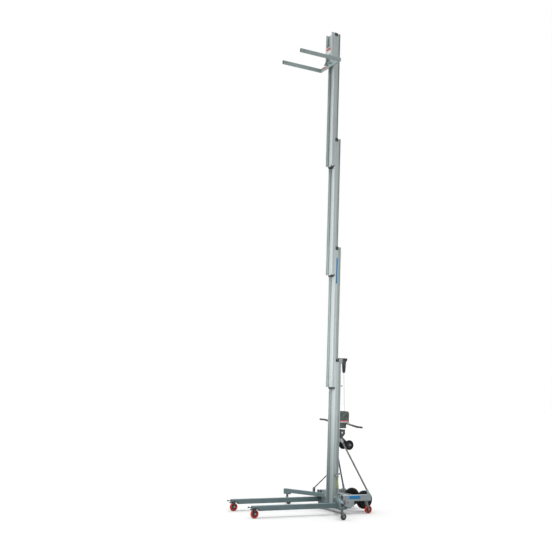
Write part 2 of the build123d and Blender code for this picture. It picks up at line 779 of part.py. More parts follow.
def make_leg(side):
    """A front leg: a rectangular tube with a wheel arch cut under its tip."""
    axle_y = behind(-front_axle_reach)
    tip_y = behind(-leg_tip)
    with BuildPart() as leg:
        with BuildSketch(Plane.XZ.offset(-behind(-leg_root))):
            with Locations((side * leg_x, leg_bottom + leg_height / 2)):
                RectangleRounded(leg_width, leg_height, 4)
                Rectangle(leg_width - 2 * leg_wall, leg_height - 2 * leg_wall, mode=Mode.SUBTRACT)
        extrude(amount=leg_tip - leg_root)
        with BuildSketch(Plane.XZ.offset(-tip_y)):
            with Locations((side * leg_x, leg_bottom + leg_height / 2)):
                Rectangle(leg_width - 2 * leg_wall + 1, leg_height - 2 * leg_wall + 1)
        extrude(amount=-(leg_tip - front_axle_reach + front_arch_radius + 12))
        with BuildSketch(Plane.YZ.offset(side * leg_x - leg_width)):
            with Locations((axle_y, caster_radius)):
                Circle(front_arch_radius)
            with Locations((axle_y - front_arch_radius / 2 - 20, caster_radius)):
                Rectangle(front_arch_radius + 40, 2 * (front_roof - 22 - caster_radius))
        extrude(amount=2 * leg_width, mode=Mode.SUBTRACT)
    return leg.part


save(make_leg(1), "leg_left")
save(make_leg(-1), "leg_right")

# Front bumpers: a round rubber stop on a stud at each leg's tip.
bumper_z = leg_top - 16
with BuildPart() as bumpers:
    for side in (-1, 1):
        with BuildSketch(Plane.XZ.offset(-behind(-leg_tip))):
            with Locations((side * leg_x, bumper_z)):
                Circle(bumper_radius * 0.6)
        extrude(amount=bumper_length - 14)
        with BuildSketch(Plane.XZ.offset(-behind(-leg_tip - bumper_length + 14))):
            with Locations((side * leg_x, bumper_z)):
                Circle(bumper_radius)
        extrude(amount=14)
save(bumpers.part, "leg_bumpers")


def caster_fork(x, y, top, wheel_z, trail, wheel_radius, wheel_width, pin):
    """A bent caster fork: two cheeks, a crown and the wheel's axle bolt."""
    cheek = wheel_width / 2 + 2
    thick = 3.0
    crown = top - 4.0
    with BuildPart() as fork:
        for side in (-1, 1):
            start = cheek if side > 0 else -cheek - thick
            with BuildSketch(Plane.YZ.offset(x + start)):
                with BuildLine():
                    Polyline((y - 17, crown), (y + 17, crown), (y + trail + 11, wheel_z + 2),
                             (y + trail + 6, wheel_z - 9), (y + trail - 6, wheel_z - 9),
                             (y + trail - 11, wheel_z + 4), close=True)
                make_face()
            extrude(amount=thick)
        with BuildSketch(Plane.XY.offset(crown)):
            with Locations((x, y)):
                Rectangle(2 * (cheek + thick), 34)
        extrude(amount=top - crown)
        with BuildSketch(Plane.YZ.offset(x - cheek - thick - 4)):
            with Locations((y + trail, wheel_z)):
                Circle(pin)
        extrude(amount=2 * (cheek + thick + 4))
    return fork.part


def caster_plate(x, y, bottom, top, size, stem):
    """A caster's top plate with its swivel race below, down to the fork's crown."""
    with BuildPart() as plate:
        with BuildSketch(Plane.XY.offset(top - caster_plate_thick)):
            with Locations((x, y)):
                RectangleRounded(size, size + 12, 4)
        extrude(amount=caster_plate_thick)
        with BuildSketch(Plane.XY.offset(bottom)):
            with Locations((x, y)):
                Circle(stem)
        extrude(amount=top - caster_plate_thick - bottom)
    return plate.part


# Front casters: rigid forks up inside each leg's arch, with a red wheel in each.
front_y = behind(-front_axle_reach)
fork_crown = caster_radius + (front_arch_radius ** 2 - 17 ** 2) ** 0.5 - 0.1
with BuildPart() as front_forks:
    for side in (-1, 1):
        add(caster_fork(side * leg_x, front_y, fork_crown, caster_radius, 0, caster_radius, caster_width,
                        pulley_pin_radius))
save(front_forks.part, "front_caster_forks")
for side, hand in ((1, "left"), (-1, "right")):
    save(make_wheel(side * leg_x, front_y, caster_radius, caster_radius, caster_width,
                    pulley_pin_radius + running_gap, 12, 6), f"front_wheel_{hand}")

# Rear casters: swivel forks on plates under the rear arms.
rear_y = behind(rear_caster_reach)
swivel_level = 2 * caster_radius + 22
with BuildPart() as caster_plates:
    for side in (-1, 1):
        add(caster_plate(side * leg_x, rear_y, swivel_level + 0.3, rear_arm_bottom, 48, 20))
save(caster_plates.part, "rear_caster_plates")
for side, hand in ((1, "left"), (-1, "right")):
    save(caster_fork(side * leg_x, rear_y, swivel_level, caster_radius, caster_trail, caster_radius,
                     caster_width, pulley_pin_radius), f"rear_caster_fork_{hand}")
    save(make_wheel(side * leg_x, rear_y + caster_trail, caster_radius, caster_radius, caster_width,
                    pulley_pin_radius + running_gap, 12, 6), f"rear_wheel_{hand}")


def brace_plane(side, at_foot):
    """A plane at one end of a brace, its Z pointing along the brace from top to foot."""
    top = Vector(side * brace_top_side, behind(brace_top_reach), brace_top_height)
    foot = Vector(side * leg_x, behind(brace_foot_reach), brace_foot_height)
    origin = foot if at_foot else top
    return Plane(origin=origin, z_dir=foot - top)


def brace_span():
    """Length of a brace between its two end points."""
    top = Vector(brace_top_side, behind(brace_top_reach), brace_top_height)
    foot = Vector(leg_x, behind(brace_foot_reach), brace_foot_height)
    return (foot - top).length


# Rear arms: short beams that carry the rear casters and the feet of the braces.
with BuildPart() as rear_arms:
    for side in (-1, 1):
        with BuildSketch(Plane.XZ.offset(-behind(rear_arm_rear))):
            with Locations((side * leg_x, rear_arm_bottom + rear_arm_height / 2)):
                RectangleRounded(leg_width, rear_arm_height, 4)
                Rectangle(leg_width - 2 * leg_wall, rear_arm_height - 2 * leg_wall, mode=Mode.SUBTRACT)
        extrude(amount=rear_arm_rear + rear_arm_front)
        with BuildSketch(Plane.XZ.offset(-behind(rear_arm_rear))):
            with Locations((side * leg_x, rear_arm_bottom + rear_arm_height / 2)):
                RectangleRounded(leg_width, rear_arm_height, 4)
        extrude(amount=leg_wall)
        with BuildSketch(Plane.XY.offset(arm_top)):
            with Locations((side * leg_x, behind(brace_foot_reach + 4))):
                Rectangle(leg_width - 12, brace_pad_length)
        extrude(amount=6)
        with BuildSketch(brace_plane(side, True)):
            Circle(brace_radius + cable_clearance + brace_collar_wall)
        extrude(amount=-brace_collar_length)
        with BuildSketch(brace_plane(side, True)):
            Circle(brace_radius + brace_collar_wall)
        extrude(amount=22)
        with BuildSketch(brace_plane(side, True)):
            Circle(brace_radius + cable_clearance)
        extrude(amount=-brace_collar_length - 1, mode=Mode.SUBTRACT)
save(rear_arms.part, "rear_arms")

# Rear braces: a tube on each side from the mast down to its rear arm.
with BuildPart() as braces:
    for side in (-1, 1):
        with BuildSketch(brace_plane(side, False).offset(cable_clearance)):
            Circle(brace_radius)
            Circle(brace_radius - brace_wall, mode=Mode.SUBTRACT)
        extrude(amount=brace_span() - 2 * cable_clearance)
save(braces.part, "rear_braces")

# Rear cross beam with two forked brackets and the transport wheels' axle welded through them.
transport_y = behind(transport_reach)
axle_half = transport_spacing / 2 + transport_width / 2 + transport_arm_gap + transport_arm_thick + 8
with BuildPart() as rear_beam:
    with BuildSketch(Plane.YZ.offset(-inner_x)):
        with Locations((behind(rear_beam_reach + rear_beam_depth / 2), rear_arm_bottom + rear_beam_height / 2)):
            Rectangle(rear_beam_depth, rear_beam_height)
            Rectangle(rear_beam_depth - 2 * beam_wall, rear_beam_height - 2 * beam_wall, mode=Mode.SUBTRACT)
    extrude(amount=2 * inner_x)
    for side in (-1, 1):
        for edge in (-1, 1):
            offset = transport_width / 2 + transport_arm_gap + transport_arm_thick / 2
            plate_mid = side * transport_spacing / 2 + edge * offset
            with BuildSketch(Plane.YZ.offset(plate_mid - transport_arm_thick / 2)):
                with BuildLine():
                    Polyline((behind(rear_beam_reach + rear_beam_depth), rear_arm_bottom),
                             (transport_y + 18, transport_axle_height - 16),
                             (transport_y + 18, transport_axle_height + 14),
                             (behind(rear_beam_reach + rear_beam_depth), rear_arm_bottom + rear_beam_height),
                             close=True)
                make_face()
            extrude(amount=transport_arm_thick)
    with BuildSketch(Plane.YZ.offset(-axle_half)):
        with Locations((transport_y, transport_axle_height)):
            Circle(axle_radius)
    extrude(amount=2 * axle_half)
    for start in (-axle_half - 4, axle_half):
        with BuildSketch(Plane.YZ.offset(start)):
            with Locations((transport_y, transport_axle_height)):
                RegularPolygon(axle_radius + 4, 6)
        extrude(amount=4)
save(rear_beam.part, "rear_cross_beam")

for side, hand in ((1, "left"), (-1, "right")):
    save(make_wheel(side * transport_spacing / 2, transport_y, transport_axle_height, transport_radius,
                    transport_width, axle_radius + running_gap, 34, 16), f"transport_wheel_{hand}")


# Stabilizers: arms that fold up about a level pin beside the mast, each with a stay and a caster.
def arm_frame(side):
    """Plane of one stabilizer: X along the arm, Z up, origin at its pivot pin."""
    splay = radians(stabilizer_splay)
    origin = (side * stabilizer_pivot_side, behind(-stabilizer_pivot_reach), pivot_z)
    return Plane(origin=origin, x_dir=(side * cos(splay), -sin(splay), 0), z_dir=(0, 0, 1))


pivot_z = stabilizer_bottom + stabilizer_tube / 2
half_tube = stabilizer_tube / 2
lug_half = half_tube + side_gap
drop_bottom = 2 * small_caster_radius + drop_clearance
small_level = 2 * small_caster_radius + 16
foot_x = strut_foot_reach
foot_z = half_tube + strut_foot_rise


def side_plane(frame, offset):
    """The upright plane of a stabilizer, X along the arm, Y up, moved sideways by offset."""
    origin = frame.origin + frame.y_dir * offset
    return Plane(origin=origin, x_dir=frame.x_dir, z_dir=-frame.y_dir)


def make_stabilizer_arm(side):
    """The arm tube with its pin boss, stay lugs and the drop tube over the caster."""
    frame = arm_frame(side)
    section = Plane(origin=frame.origin + frame.x_dir * 16, x_dir=frame.y_dir, z_dir=frame.x_dir)
    with BuildPart() as arm:
        with BuildSketch(section):
            RectangleRounded(stabilizer_tube, stabilizer_tube, 4)
        extrude(amount=stabilizer_reach + drop_length / 2 - 16)
        with BuildSketch(section):
            Rectangle(stabilizer_tube - 2 * stabilizer_wall, stabilizer_tube - 2 * stabilizer_wall)
        extrude(amount=stabilizer_reach - drop_length / 2 - 30, mode=Mode.SUBTRACT)
        with BuildSketch(side_plane(frame, half_tube)):
            Circle(16)
            with Locations((10, 0)):
                Rectangle(20, 32)
        extrude(amount=stabilizer_tube)
        with BuildSketch(side_plane(frame, half_tube)):
            Circle(axle_radius + running_gap)
        extrude(amount=stabilizer_tube, mode=Mode.SUBTRACT)
        drop_height = pivot_z - half_tube - drop_bottom
        with BuildSketch(frame.offset(-half_tube)):
            with Locations((stabilizer_reach, 0)):
                RectangleRounded(drop_length, stabilizer_tube, 4)
        extrude(amount=-drop_height)
        with BuildSketch(frame.offset(small_level + 0.3 - pivot_z)):
            with Locations((stabilizer_reach, 0)):
                Circle(15)
        extrude(amount=drop_bottom - small_level)
        for offset in (-strut_radius - 2, strut_radius + 2 + lug_thick):
            with BuildSketch(side_plane(frame, offset)):
                with Locations((foot_x, foot_z)):
                    Circle(11)
                with Locations((foot_x, (foot_z + half_tube) / 2)):
                    Rectangle(22, foot_z - half_tube)
            extrude(amount=lug_thick)
        with BuildSketch(side_plane(frame, strut_radius + 4)):
            with Locations((foot_x, foot_z)):
                Circle(4)
        extrude(amount=2 * strut_radius + 8)
    return arm.part


def make_strut(side):
    """The stay: a rod from the arm's lugs up to the catch on the mast's side."""
    frame = arm_frame(side)
    upright = side_plane(frame, 0)
    foot = upright.from_local_coords((foot_x, foot_z, 0))
    tilt = radians(180 - strut_lean)
    along = upright.x_dir * cos(tilt) + upright.y_dir * sin(tilt)
    with BuildPart() as strut:
        with BuildSketch(Plane(origin=foot + along * 12, z_dir=along)):
            Circle(strut_radius)
        extrude(amount=strut_length - 24)
        for reach in (0, strut_length):
            centre = foot + along * reach
            with BuildSketch(Plane(origin=centre + upright.z_dir * (strut_radius - 1),
                                   x_dir=upright.x_dir, z_dir=-upright.z_dir)):
                Circle(14)
            extrude(amount=2 * strut_radius - 2)
        with BuildSketch(side_plane(frame, strut_radius + 4)):
            with Locations((foot_x, foot_z)):
                Circle(4 + running_gap)
        extrude(amount=2 * strut_radius + 8, mode=Mode.SUBTRACT)
    return strut.part


for side, hand in ((1, "left"), (-1, "right")):
    frame = arm_frame(side)
    save(make_stabilizer_arm(side), f"stabilizer_arm_{hand}")
    save(make_strut(side), f"stabilizer_stay_{hand}")
    caster_at = frame.from_local_coords((stabilizer_reach, 0, 0))
    save(caster_fork(caster_at.X, caster_at.Y, small_level, small_caster_radius, small_caster_trail,
                     small_caster_radius, small_caster_width, 5), f"stabilizer_caster_fork_{hand}")
    save(make_wheel(caster_at.X, caster_at.Y + small_caster_trail, small_caster_radius, small_caster_radius,
                    small_caster_width, 5 + running_gap, 9, 5), f"stabilizer_wheel_{hand}")

# Mast brackets: the stabilizers' pivots and stay catches on both sides, the braces' sockets behind.
catch_z = pivot_z + foot_z + strut_length * sin(radians(strut_lean))
catch_x = foot_x - strut_length * cos(radians(strut_lean))
with BuildPart() as brackets:
    for side in (-1, 1):
        frame = arm_frame(side)
        for level, half in ((pivot_z, 25), (catch_z, 15)):
            for shelf in (level - half, level + half - lug_thick):
                with BuildSketch(Plane.XY.offset(shelf)):
                    with BuildLine():
                        back = frame.from_local_coords((-30.5, side * (lug_half + lug_thick), 0))
                        front = frame.from_local_coords((-30.5, -side * half_tube, 0))
                        Polyline((side * 60, back.Y), (back.X, back.Y), (front.X, front.Y),
                                 (front.X, behind(-78)), (side * 60, behind(-78)), close=True)
                    make_face()
                extrude(amount=lug_thick)
        for offset in (-lug_half, lug_half + lug_thick):
            with BuildSketch(side_plane(frame, offset)):
                Circle(20)
                with Locations((-18, 0)):
                    Rectangle(36, 40)
            extrude(amount=lug_thick)
        with BuildSketch(side_plane(frame, lug_half + lug_thick)):
            Circle(axle_radius)
        extrude(amount=2 * (lug_half + lug_thick))
        for offset in (-strut_radius - side_gap, strut_radius + side_gap + lug_thick):
            with BuildSketch(side_plane(frame, offset)):
                with Locations((catch_x, catch_z - pivot_z)):
                    Circle(15)
                with Locations((catch_x - 20, catch_z - pivot_z)):
                    Rectangle(40, 30)
            extrude(amount=lug_thick)
    with BuildSketch(Plane.XY.offset(column_floor)):
        with Locations((0, behind((-neck_depth - column_depth) / 2))):
            Rectangle(column_width, column_depth - neck_depth)
        with Locations((0, behind(-neck_depth / 2))):
            Rectangle(neck_width, neck_depth)
        with Locations((0, behind(-flange_thick / 2))):
            Rectangle(flange_width, flange_thick)
    extrude(amount=column_length / 3, mode=Mode.SUBTRACT)
    with BuildSketch(Plane.XZ.offset(-behind(0))):
        with Locations((0, brace_top_height)):
            RectangleRounded(2 * brace_top_side + 24, 44, 6)
    extrude(amount=-8)
    strap_z = catch_z + 15 + strap_height / 2
    for side in (-1, 1):
        strap_x = column_width / 2 if side > 0 else -column_width / 2 - lug_thick
        with BuildSketch(Plane.YZ.offset(strap_x)):
            with Locations((behind((strap_rear - 78) / 2), strap_z)):
                Rectangle(strap_rear + 78, strap_height)
            with Locations((behind(-63), catch_z + 12)):
                Rectangle(30, 2 * strap_height)
        extrude(amount=lug_thick)
        knob_x = column_width / 2 - 28 if side > 0 else -column_width / 2 - 12
        with BuildSketch(Plane.YZ.offset(knob_x)):
            with Locations((behind(strap_rear), strap_z)):
                Circle(strap_knob_radius)
        extrude(amount=40)
        with BuildSketch(Plane.XZ.offset(-behind(0))):
            with Locations((side * brace_top_side, brace_top_height)):
                Rectangle(24, 36)
        extrude(amount=-brace_top_reach)
        with BuildSketch(brace_plane(side, False).offset(-10)):
            Circle(brace_radius + cable_clearance + brace_collar_wall)
        extrude(amount=10 + brace_collar_length)
        with BuildSketch(brace_plane(side, False)):
            Circle(brace_radius + cable_clearance)
        extrude(amount=brace_collar_length + 1, mode=Mode.SUBTRACT)
save(brackets.part, "mast_brackets")

# Rest peg: a headed stud behind the mast, halfway between the winch and the top pulley.
with BuildPart() as peg:
    with BuildSketch(Plane.XZ.offset(-behind(0))):
        with Locations((peg_side, peg_height)):
            Circle(peg_radius * 2)
    extrude(amount=-peg_flange)
    with BuildSketch(Plane.XZ.offset(-behind(peg_flange))):
        with Locations((peg_side, peg_height)):
            Circle(peg_radius * 0.7)
    extrude(amount=-(peg_reach - peg_flange))
    with BuildSketch(Plane.XZ.offset(-behind(peg_reach - peg_head))):
        with Locations((peg_side, peg_height)):
            Circle(peg_radius)
    extrude(amount=-peg_head)
save(peg.part, "rest_peg")
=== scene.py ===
import math

import bmesh
import bpy
import numpy as np
from bpy.props import FloatProperty, FloatVectorProperty, PointerProperty
from mathutils import Matrix, Vector


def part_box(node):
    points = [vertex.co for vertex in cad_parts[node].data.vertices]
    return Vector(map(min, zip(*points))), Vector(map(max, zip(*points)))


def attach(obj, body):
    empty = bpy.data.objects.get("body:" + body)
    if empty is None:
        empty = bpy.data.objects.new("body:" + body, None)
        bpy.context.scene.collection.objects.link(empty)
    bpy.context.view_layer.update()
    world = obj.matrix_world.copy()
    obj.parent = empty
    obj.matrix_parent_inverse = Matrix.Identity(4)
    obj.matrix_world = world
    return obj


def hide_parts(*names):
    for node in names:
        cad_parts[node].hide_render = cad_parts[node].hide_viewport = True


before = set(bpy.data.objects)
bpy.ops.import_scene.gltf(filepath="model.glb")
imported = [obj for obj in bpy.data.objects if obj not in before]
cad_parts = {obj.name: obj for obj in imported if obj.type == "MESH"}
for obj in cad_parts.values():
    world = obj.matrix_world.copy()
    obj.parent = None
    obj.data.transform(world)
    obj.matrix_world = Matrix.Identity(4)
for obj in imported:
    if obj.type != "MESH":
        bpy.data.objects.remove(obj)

bl_info = {
    "name": "Material Lift Finish",
    "version": (1, 0, 0),
    "blender": (4, 5, 0),
    "location": "View3D > Sidebar > Lift",
    "description": "Finishes, trim and studio for a four-column material lift",
    "category": "Object",
}

# Places and sizes in metres that several pieces share.
HANDS = (("left", 1), ("right", -1))  # both sides, with their signs along X
MAST_REAR = 0.4635  # Y of the first column's rear face
COLUMN_STEP = 0.0485  # how far each column stands in front of the one behind it
COLUMN_DEPTH = 0.091  # a column from front to rear
CARRIAGE_FRONT = MAST_REAR - 4 * COLUMN_STEP - COLUMN_DEPTH  # Y of the carriage's front face
CROSSBAR_FRONT = CARRIAGE_FRONT + 0.017  # Y of the crossbar's front face
CROSSBAR_LEVEL = 5.992  # Z of the middle of the crossbar and the fork arms
LEG_X = 0.2985  # X of the middle of the left leg and rear arm
ARCH_CENTRE = (-0.8465, 0.05)  # Y and Z of the wheel arches' axis
REAR_SWIVEL = (0.7535, 0.1285)  # Y and Z of the rear casters' lower ball race
ARM_SPLAY = math.radians(26.0)  # how far the stabilizer arms turn forward from X
ARM_PIVOT = (0.118, MAST_REAR - 0.045, 0.18)  # middle of the left stabilizer's pin
ARM_TO_CASTER = 0.645  # along a stabilizer arm, from its pin to its caster
ARM_TO_STAY = 0.213  # along a stabilizer arm, from its pin to its stay's foot
CARRIAGE_PLATE = 0.002  # thickness of the plate on the carriage


# Properties
def colour(name, description, value):
    """A colour property with its default."""
    return FloatVectorProperty(name=name, description=description, default=value, size=3,
                               subtype="COLOR", min=0.0, max=1.0)


def length(name, description, value):
    """A length property in metres with its default."""
    return FloatProperty(name=name, description=description, default=value, unit="LENGTH")


class LiftColours(bpy.types.PropertyGroup):
    """Base colours of the lift's materials."""
    aluminium: colour("Aluminium", "Extruded mast columns", (0.64, 0.705, 0.70))
    steel: colour("Coated steel", "Legs, base frame and stabilizer arms", (0.125, 0.180, 0.193))
    fork: colour("Fork steel", "Forks and their crossbar", (0.38, 0.455, 0.45))
    arm: colour("Rear arm steel", "Rear arms and the light half of the side plates", (0.33, 0.385, 0.40))
    tube: colour("Tube steel", "Rear braces and stabilizer stays", (0.15, 0.16, 0.16))
    zinc: colour("Zinc", "Plated brackets and caster plates", (0.36, 0.39, 0.38))
    dark: colour("Dark paint", "Pulley housing, loading bracket and caster forks", (0.035, 0.045, 0.05))
    cover: colour("Winch cover", "Hood over the winch", (0.085, 0.105, 0.095))
    crank: colour("Crank steel", "Crank arms", (0.20, 0.21, 0.21))
    black: colour("Black plastic", "Pads, grips, caps and sheaves", (0.014, 0.015, 0.017))
    red: colour("Red wheel", "Treads of the load casters", (0.62, 0.045, 0.022))
    hub: colour("Wheel hub", "Hubs of the casters", (0.045, 0.047, 0.05))
    tyre: colour("Tyre", "Transport and loading tyres", (0.009, 0.010, 0.011))
    grey_tyre: colour("Grey tyre", "Small stabilizer wheels", (0.085, 0.09, 0.09))
    blue: colour("Blue strip", "Plain strips on the second column and a rear arm", (0.003, 0.225, 0.55))
    lime: colour("Lime strip", "Plain strip on the first column", (0.60, 0.70, 0.16))
    red_strip: colour("Red strip", "Plain red strips", (0.55, 0.07, 0.08))
    white_strip: colour("White strip", "Plain white strips", (0.88, 0.88, 0.88))


class LiftSizes(bpy.types.PropertyGroup):
    """Sizes of the finish's details and of the studio."""
    edge: length("Edge round", "Radius that edges catch light with", 0.0012)
    strip: length("Strip thickness", "How far a plain strip stands proud", 0.0003)
    bead: length("Weld bead", "Radius of a weld bead", 0.0024)
    lug: length("Tread depth", "Depth of the transport tyres' grooves", 0.004)
    camera_x: length("Camera X", "Camera position", 9.5904)
    camera_y: length("Camera Y", "Camera position", -5.4752)
    camera_z: length("Camera Z", "Camera position", 1.5693)


def props():
    """The scene's colour and size properties."""
    return bpy.context.scene.lift_colours, bpy.context.scene.lift_sizes


# Node helpers
class Nodes:
    """A small builder around an empty node tree."""

    def __init__(self, tree):
        self.tree = tree
        self.tree.nodes.clear()

    def node(self, kind, **values):
        made = self.tree.nodes.new(kind)
        for key, value in values.items():
            setattr(made, key, value)
        return made

    def link(self, source, target):
        self.tree.links.new(source, target)

    def put(self, socket, value):
        """Links a socket or sets a constant."""
        if isinstance(value, bpy.types.NodeSocket):
            self.link(value, socket)
        else:
            socket.default_value = value

    def math(self, operation, a, b=0.0, c=0.0, clamp=False):
        made = self.node("ShaderNodeMath", operation=operation, use_clamp=clamp)
        for socket, value in zip(made.inputs, (a, b, c)):
            self.put(socket, value)
        return made.outputs[0]


class Shader(Nodes):
    """One material around a Principled shader, read in Object coordinates."""

    def __init__(self, name):
        self.material = bpy.data.materials.new(name)
        self.material.use_nodes = True
        super().__init__(self.material.node_tree)
        self.out = self.node("ShaderNodeOutputMaterial")
        self.bsdf = self.node("ShaderNodeBsdfPrincipled")
        self.link(self.bsdf.outputs["BSDF"], self.out.inputs["Surface"])
        self.coords = self.node("ShaderNodeTexCoord").outputs["Object"]

    def noise(self, scale, stretch=(1, 1, 1), detail=3.0, rough=0.5):
        mapping = self.node("ShaderNodeMapping")
        self.link(self.coords, mapping.inputs["Vector"])
        mapping.inputs["Scale"].default_value = stretch
        made = self.node("ShaderNodeTexNoise")
        self.link(mapping.outputs["Vector"], made.inputs["Vector"])
        made.inputs["Scale"].default_value = scale
        made.inputs["Detail"].default_value = detail
        made.inputs["Roughness"].default_value = rough
        return made.outputs["Fac"]

    def span(self, value, low, high, to_low=0.0, to_high=1.0):
        made = self.node("ShaderNodeMapRange")
        made.clamp = True
        self.put(made.inputs["Value"], value)
        made.inputs["From Min"].default_value = low
        made.inputs["From Max"].default_value = high
        made.inputs["To Min"].default_value = to_low
        made.inputs["To Max"].default_value = to_high
        return made.outputs["Result"]

    def mix(self, factor, a, b):
        made = self.node("ShaderNodeMix", data_type="RGBA")
        self.put(made.inputs["Factor"], factor)
        for socket, value in ((made.inputs[6], a), (made.inputs[7], b)):
            self.put(socket, value if isinstance(value, bpy.types.NodeSocket) else (*value, 1.0))
        return made.outputs[2]

    def axis(self, letter):
        made = self.node("ShaderNodeSeparateXYZ")
        self.link(self.coords, made.inputs[0])
        return made.outputs[letter]

    def radius(self, centre_y, centre_z):
        """Distance from an axle that runs along X."""
        y = self.math("SUBTRACT", self.axis("Y"), centre_y)
        z = self.math("SUBTRACT", self.axis("Z"), centre_z)
        return self.math("SQRT", self.math("ADD", self.math("MULTIPLY", y, y), self.math("MULTIPLY", z, z)))

    def occlusion_shade(self, distance):
        """How far a point is shut in by its own piece, for painted shade in grooves and corners."""
        made = self.node("ShaderNodeAmbientOcclusion", samples=6, only_local=True)
        made.inputs["Distance"].default_value = distance
        return self.span(made.outputs["AO"], 0.55, 0.95, 1.0, 0.0)

    def bump(self, height, strength, distance):
        bevel = self.node("ShaderNodeBevel", samples=4)
        bevel.inputs["Radius"].default_value = props()[1].edge
        made = self.node("ShaderNodeBump")
        made.inputs["Strength"].default_value = strength
        made.inputs["Distance"].default_value = distance
        self.put(made.inputs["Height"], height)
        self.link(bevel.outputs["Normal"], made.inputs["Normal"])
        self.link(made.outputs["Normal"], self.bsdf.inputs["Normal"])

    def set(self, **values):
        for key, value in values.items():
            self.put(self.bsdf.inputs[key.replace("_", " ")], value)


# Materials
def shade(value, factor):
    """A colour made lighter or darker by a factor."""
    return tuple(min(1.0, channel * factor) for channel in value)


def aluminium():
    """Mill-finish extrusion: fine lines along the column, grey blotches, rub marks, painted shade in the
    grooves and corners, and painted shade darkening towards the floor.
    """
    base = tuple(props()[0].aluminium)
    s = Shader("lift_aluminium")
    lines = s.noise(900.0, (1, 1, 0.012), 2.0, 0.6)
    bands = s.noise(60.0, (1, 1, 0.01), 2.0, 0.5)
    cloud = s.noise(6.0, (1, 1, 0.35), 4.0, 0.55)
    rub = s.span(s.noise(34.0, (1, 1, 0.05), 5.0, 0.7), 0.6, 0.74)
    tone = s.mix(s.span(cloud, 0.3, 0.7), shade(base, 0.92), shade(base, 1.04))
    tone = s.mix(s.math("MULTIPLY", s.span(bands, 0.4, 0.6), 0.5), tone, shade(base, 0.84))
    tone = s.mix(s.math("MULTIPLY", s.span(lines, 0.35, 0.65), 0.18), tone, shade(base, 0.78))
    tone = s.mix(s.math("MULTIPLY", rub, 0.16), tone, shade(base, 1.2))
    # Painted shade: the aluminium turns darker towards the floor, in mottled patches, standing in for the
    # light falling off low down.
    low_shade = s.math("MULTIPLY", s.span(s.axis("Z"), 1.3, 0.15), s.span(cloud, 0.2, 0.7, 0.38, 0.74))
    low_shade_tone, groove_shade = (0.19, 0.25, 0.26), (0.10, 0.125, 0.125)
    tone = s.mix(low_shade, tone, low_shade_tone)
    # Painted shade: the piece's own grooves and corners are darkened by ambient occlusion.
    tone = s.mix(s.math("MULTIPLY", s.occlusion_shade(0.014), 0.85), tone, groove_shade)
    s.set(Base_Color=tone, Metallic=0.14, Roughness=s.span(lines, 0.3, 0.7, 0.42, 0.56))
    s.bump(lines, 0.12, 0.0002)
    return s.material


def coated_steel(name, base):
    """Powder coat on steel: fine orange peel, cloudy patches, light chips, darker streaks along the tube."""
    s = Shader(name)
    peel = s.noise(1400.0, detail=2.0)
    cloud = s.noise(9.0, detail=4.0)
    streak = s.span(s.noise(40.0, (1, 0.06, 1), 3.0), 0.5, 0.75)
    speck = s.span(s.noise(520.0, detail=1.0), 0.66, 0.72)
    tone = s.mix(s.span(cloud, 0.3, 0.7), shade(base, 0.9), shade(base, 1.08))
    tone = s.mix(s.math("MULTIPLY", streak, 0.35), tone, shade(base, 0.78))
    tone = s.mix(s.math("MULTIPLY", speck, 0.3), tone, shade(base, 1.6))
    s.set(Base_Color=tone, Metallic=0.15, Roughness=s.span(peel, 0.3, 0.7, 0.42, 0.54))
    s.bump(peel, 0.15, 0.0002)
    return s.material


def split_steel(name, front, rear, level):
    """Coated steel in two shades that meet at one Y, where one plate ends and the next begins."""
    s = Shader(name)
    peel = s.noise(1400.0, detail=2.0)
    cloud = s.noise(14.0, detail=4.0)
    blend = 0.002
    share = s.span(s.axis("Y"), level - blend, level + blend)
    tone = s.mix(share, front, rear)
    tone = s.mix(s.math("MULTIPLY", s.span(cloud, 0.35, 0.7), 0.3), tone, shade(front, 0.7))
    s.set(Base_Color=tone, Metallic=0.15, Roughness=s.span(peel, 0.3, 0.7, 0.4, 0.52))
    s.bump(peel, 0.15, 0.0002)
    return s.material


def zinc(name, base):
    """Zinc plate: cloudy crystals, grease in patches and fine scratches."""
    s = Shader(name)
    cloud = s.noise(60.0, detail=4.0, rough=0.6)
    grease = s.span(s.noise(28.0, detail=5.0, rough=0.65), 0.5, 0.66)
    scratch = s.noise(700.0, (1, 0.04, 1), 2.0)
    tone = s.mix(s.span(cloud, 0.3, 0.7), shade(base, 0.82), shade(base, 1.12))
    tone = s.mix(s.math("MULTIPLY", grease, 0.55), tone, shade(base, 0.4))
    s.set(Base_Color=tone, Metallic=0.45, Roughness=s.span(scratch, 0.3, 0.7, 0.34, 0.48))
    s.bump(scratch, 0.1, 0.0002)
    return s.material


def paint(name, base, rough, mottle):
    """Smooth paint over metal: faint orange peel and rubbed patches."""
    s = Shader(name)
    peel = s.noise(900.0, detail=2.0)
    cloud = s.noise(22.0, detail=4.0)
    tone = s.mix(s.span(cloud, 0.35, 0.7), shade(base, 1 - mottle), shade(base, 1 + mottle))
    s.set(Base_Color=tone, Metallic=0.0, Roughness=s.span(cloud, 0.3, 0.7, rough - 0.06, rough + 0.08))
    s.bump(peel, 0.14, 0.0002)
    return s.material


def crank_steel():
    """Plated bar: satin mirror with smears."""
    base = tuple(props()[0].crank)
    s = Shader("lift_crank_steel")
    smear = s.noise(70.0, (1, 0.3, 1), 4.0)
    s.set(Base_Color=s.mix(s.span(smear, 0.4, 0.7), base, shade(base, 0.75)), Metallic=0.7,
          Roughness=s.span(smear, 0.3, 0.7, 0.18, 0.32))
    s.bump(smear, 0.05, 0.0002)
    return s.material


def plastic(name, base, rough):
    """Moulded plastic with a fine leather grain."""
    s = Shader(name)
    grain = s.noise(1800.0, detail=1.0)
    cloud = s.noise(40.0, detail=3.0)
    s.set(Base_Color=s.mix(s.span(cloud, 0.3, 0.7), shade(base, 0.85), shade(base, 1.35)),
          Roughness=s.span(grain, 0.3, 0.7, rough - 0.08, rough + 0.1))
    s.bump(grain, 0.25, 0.0002)
    return s.material


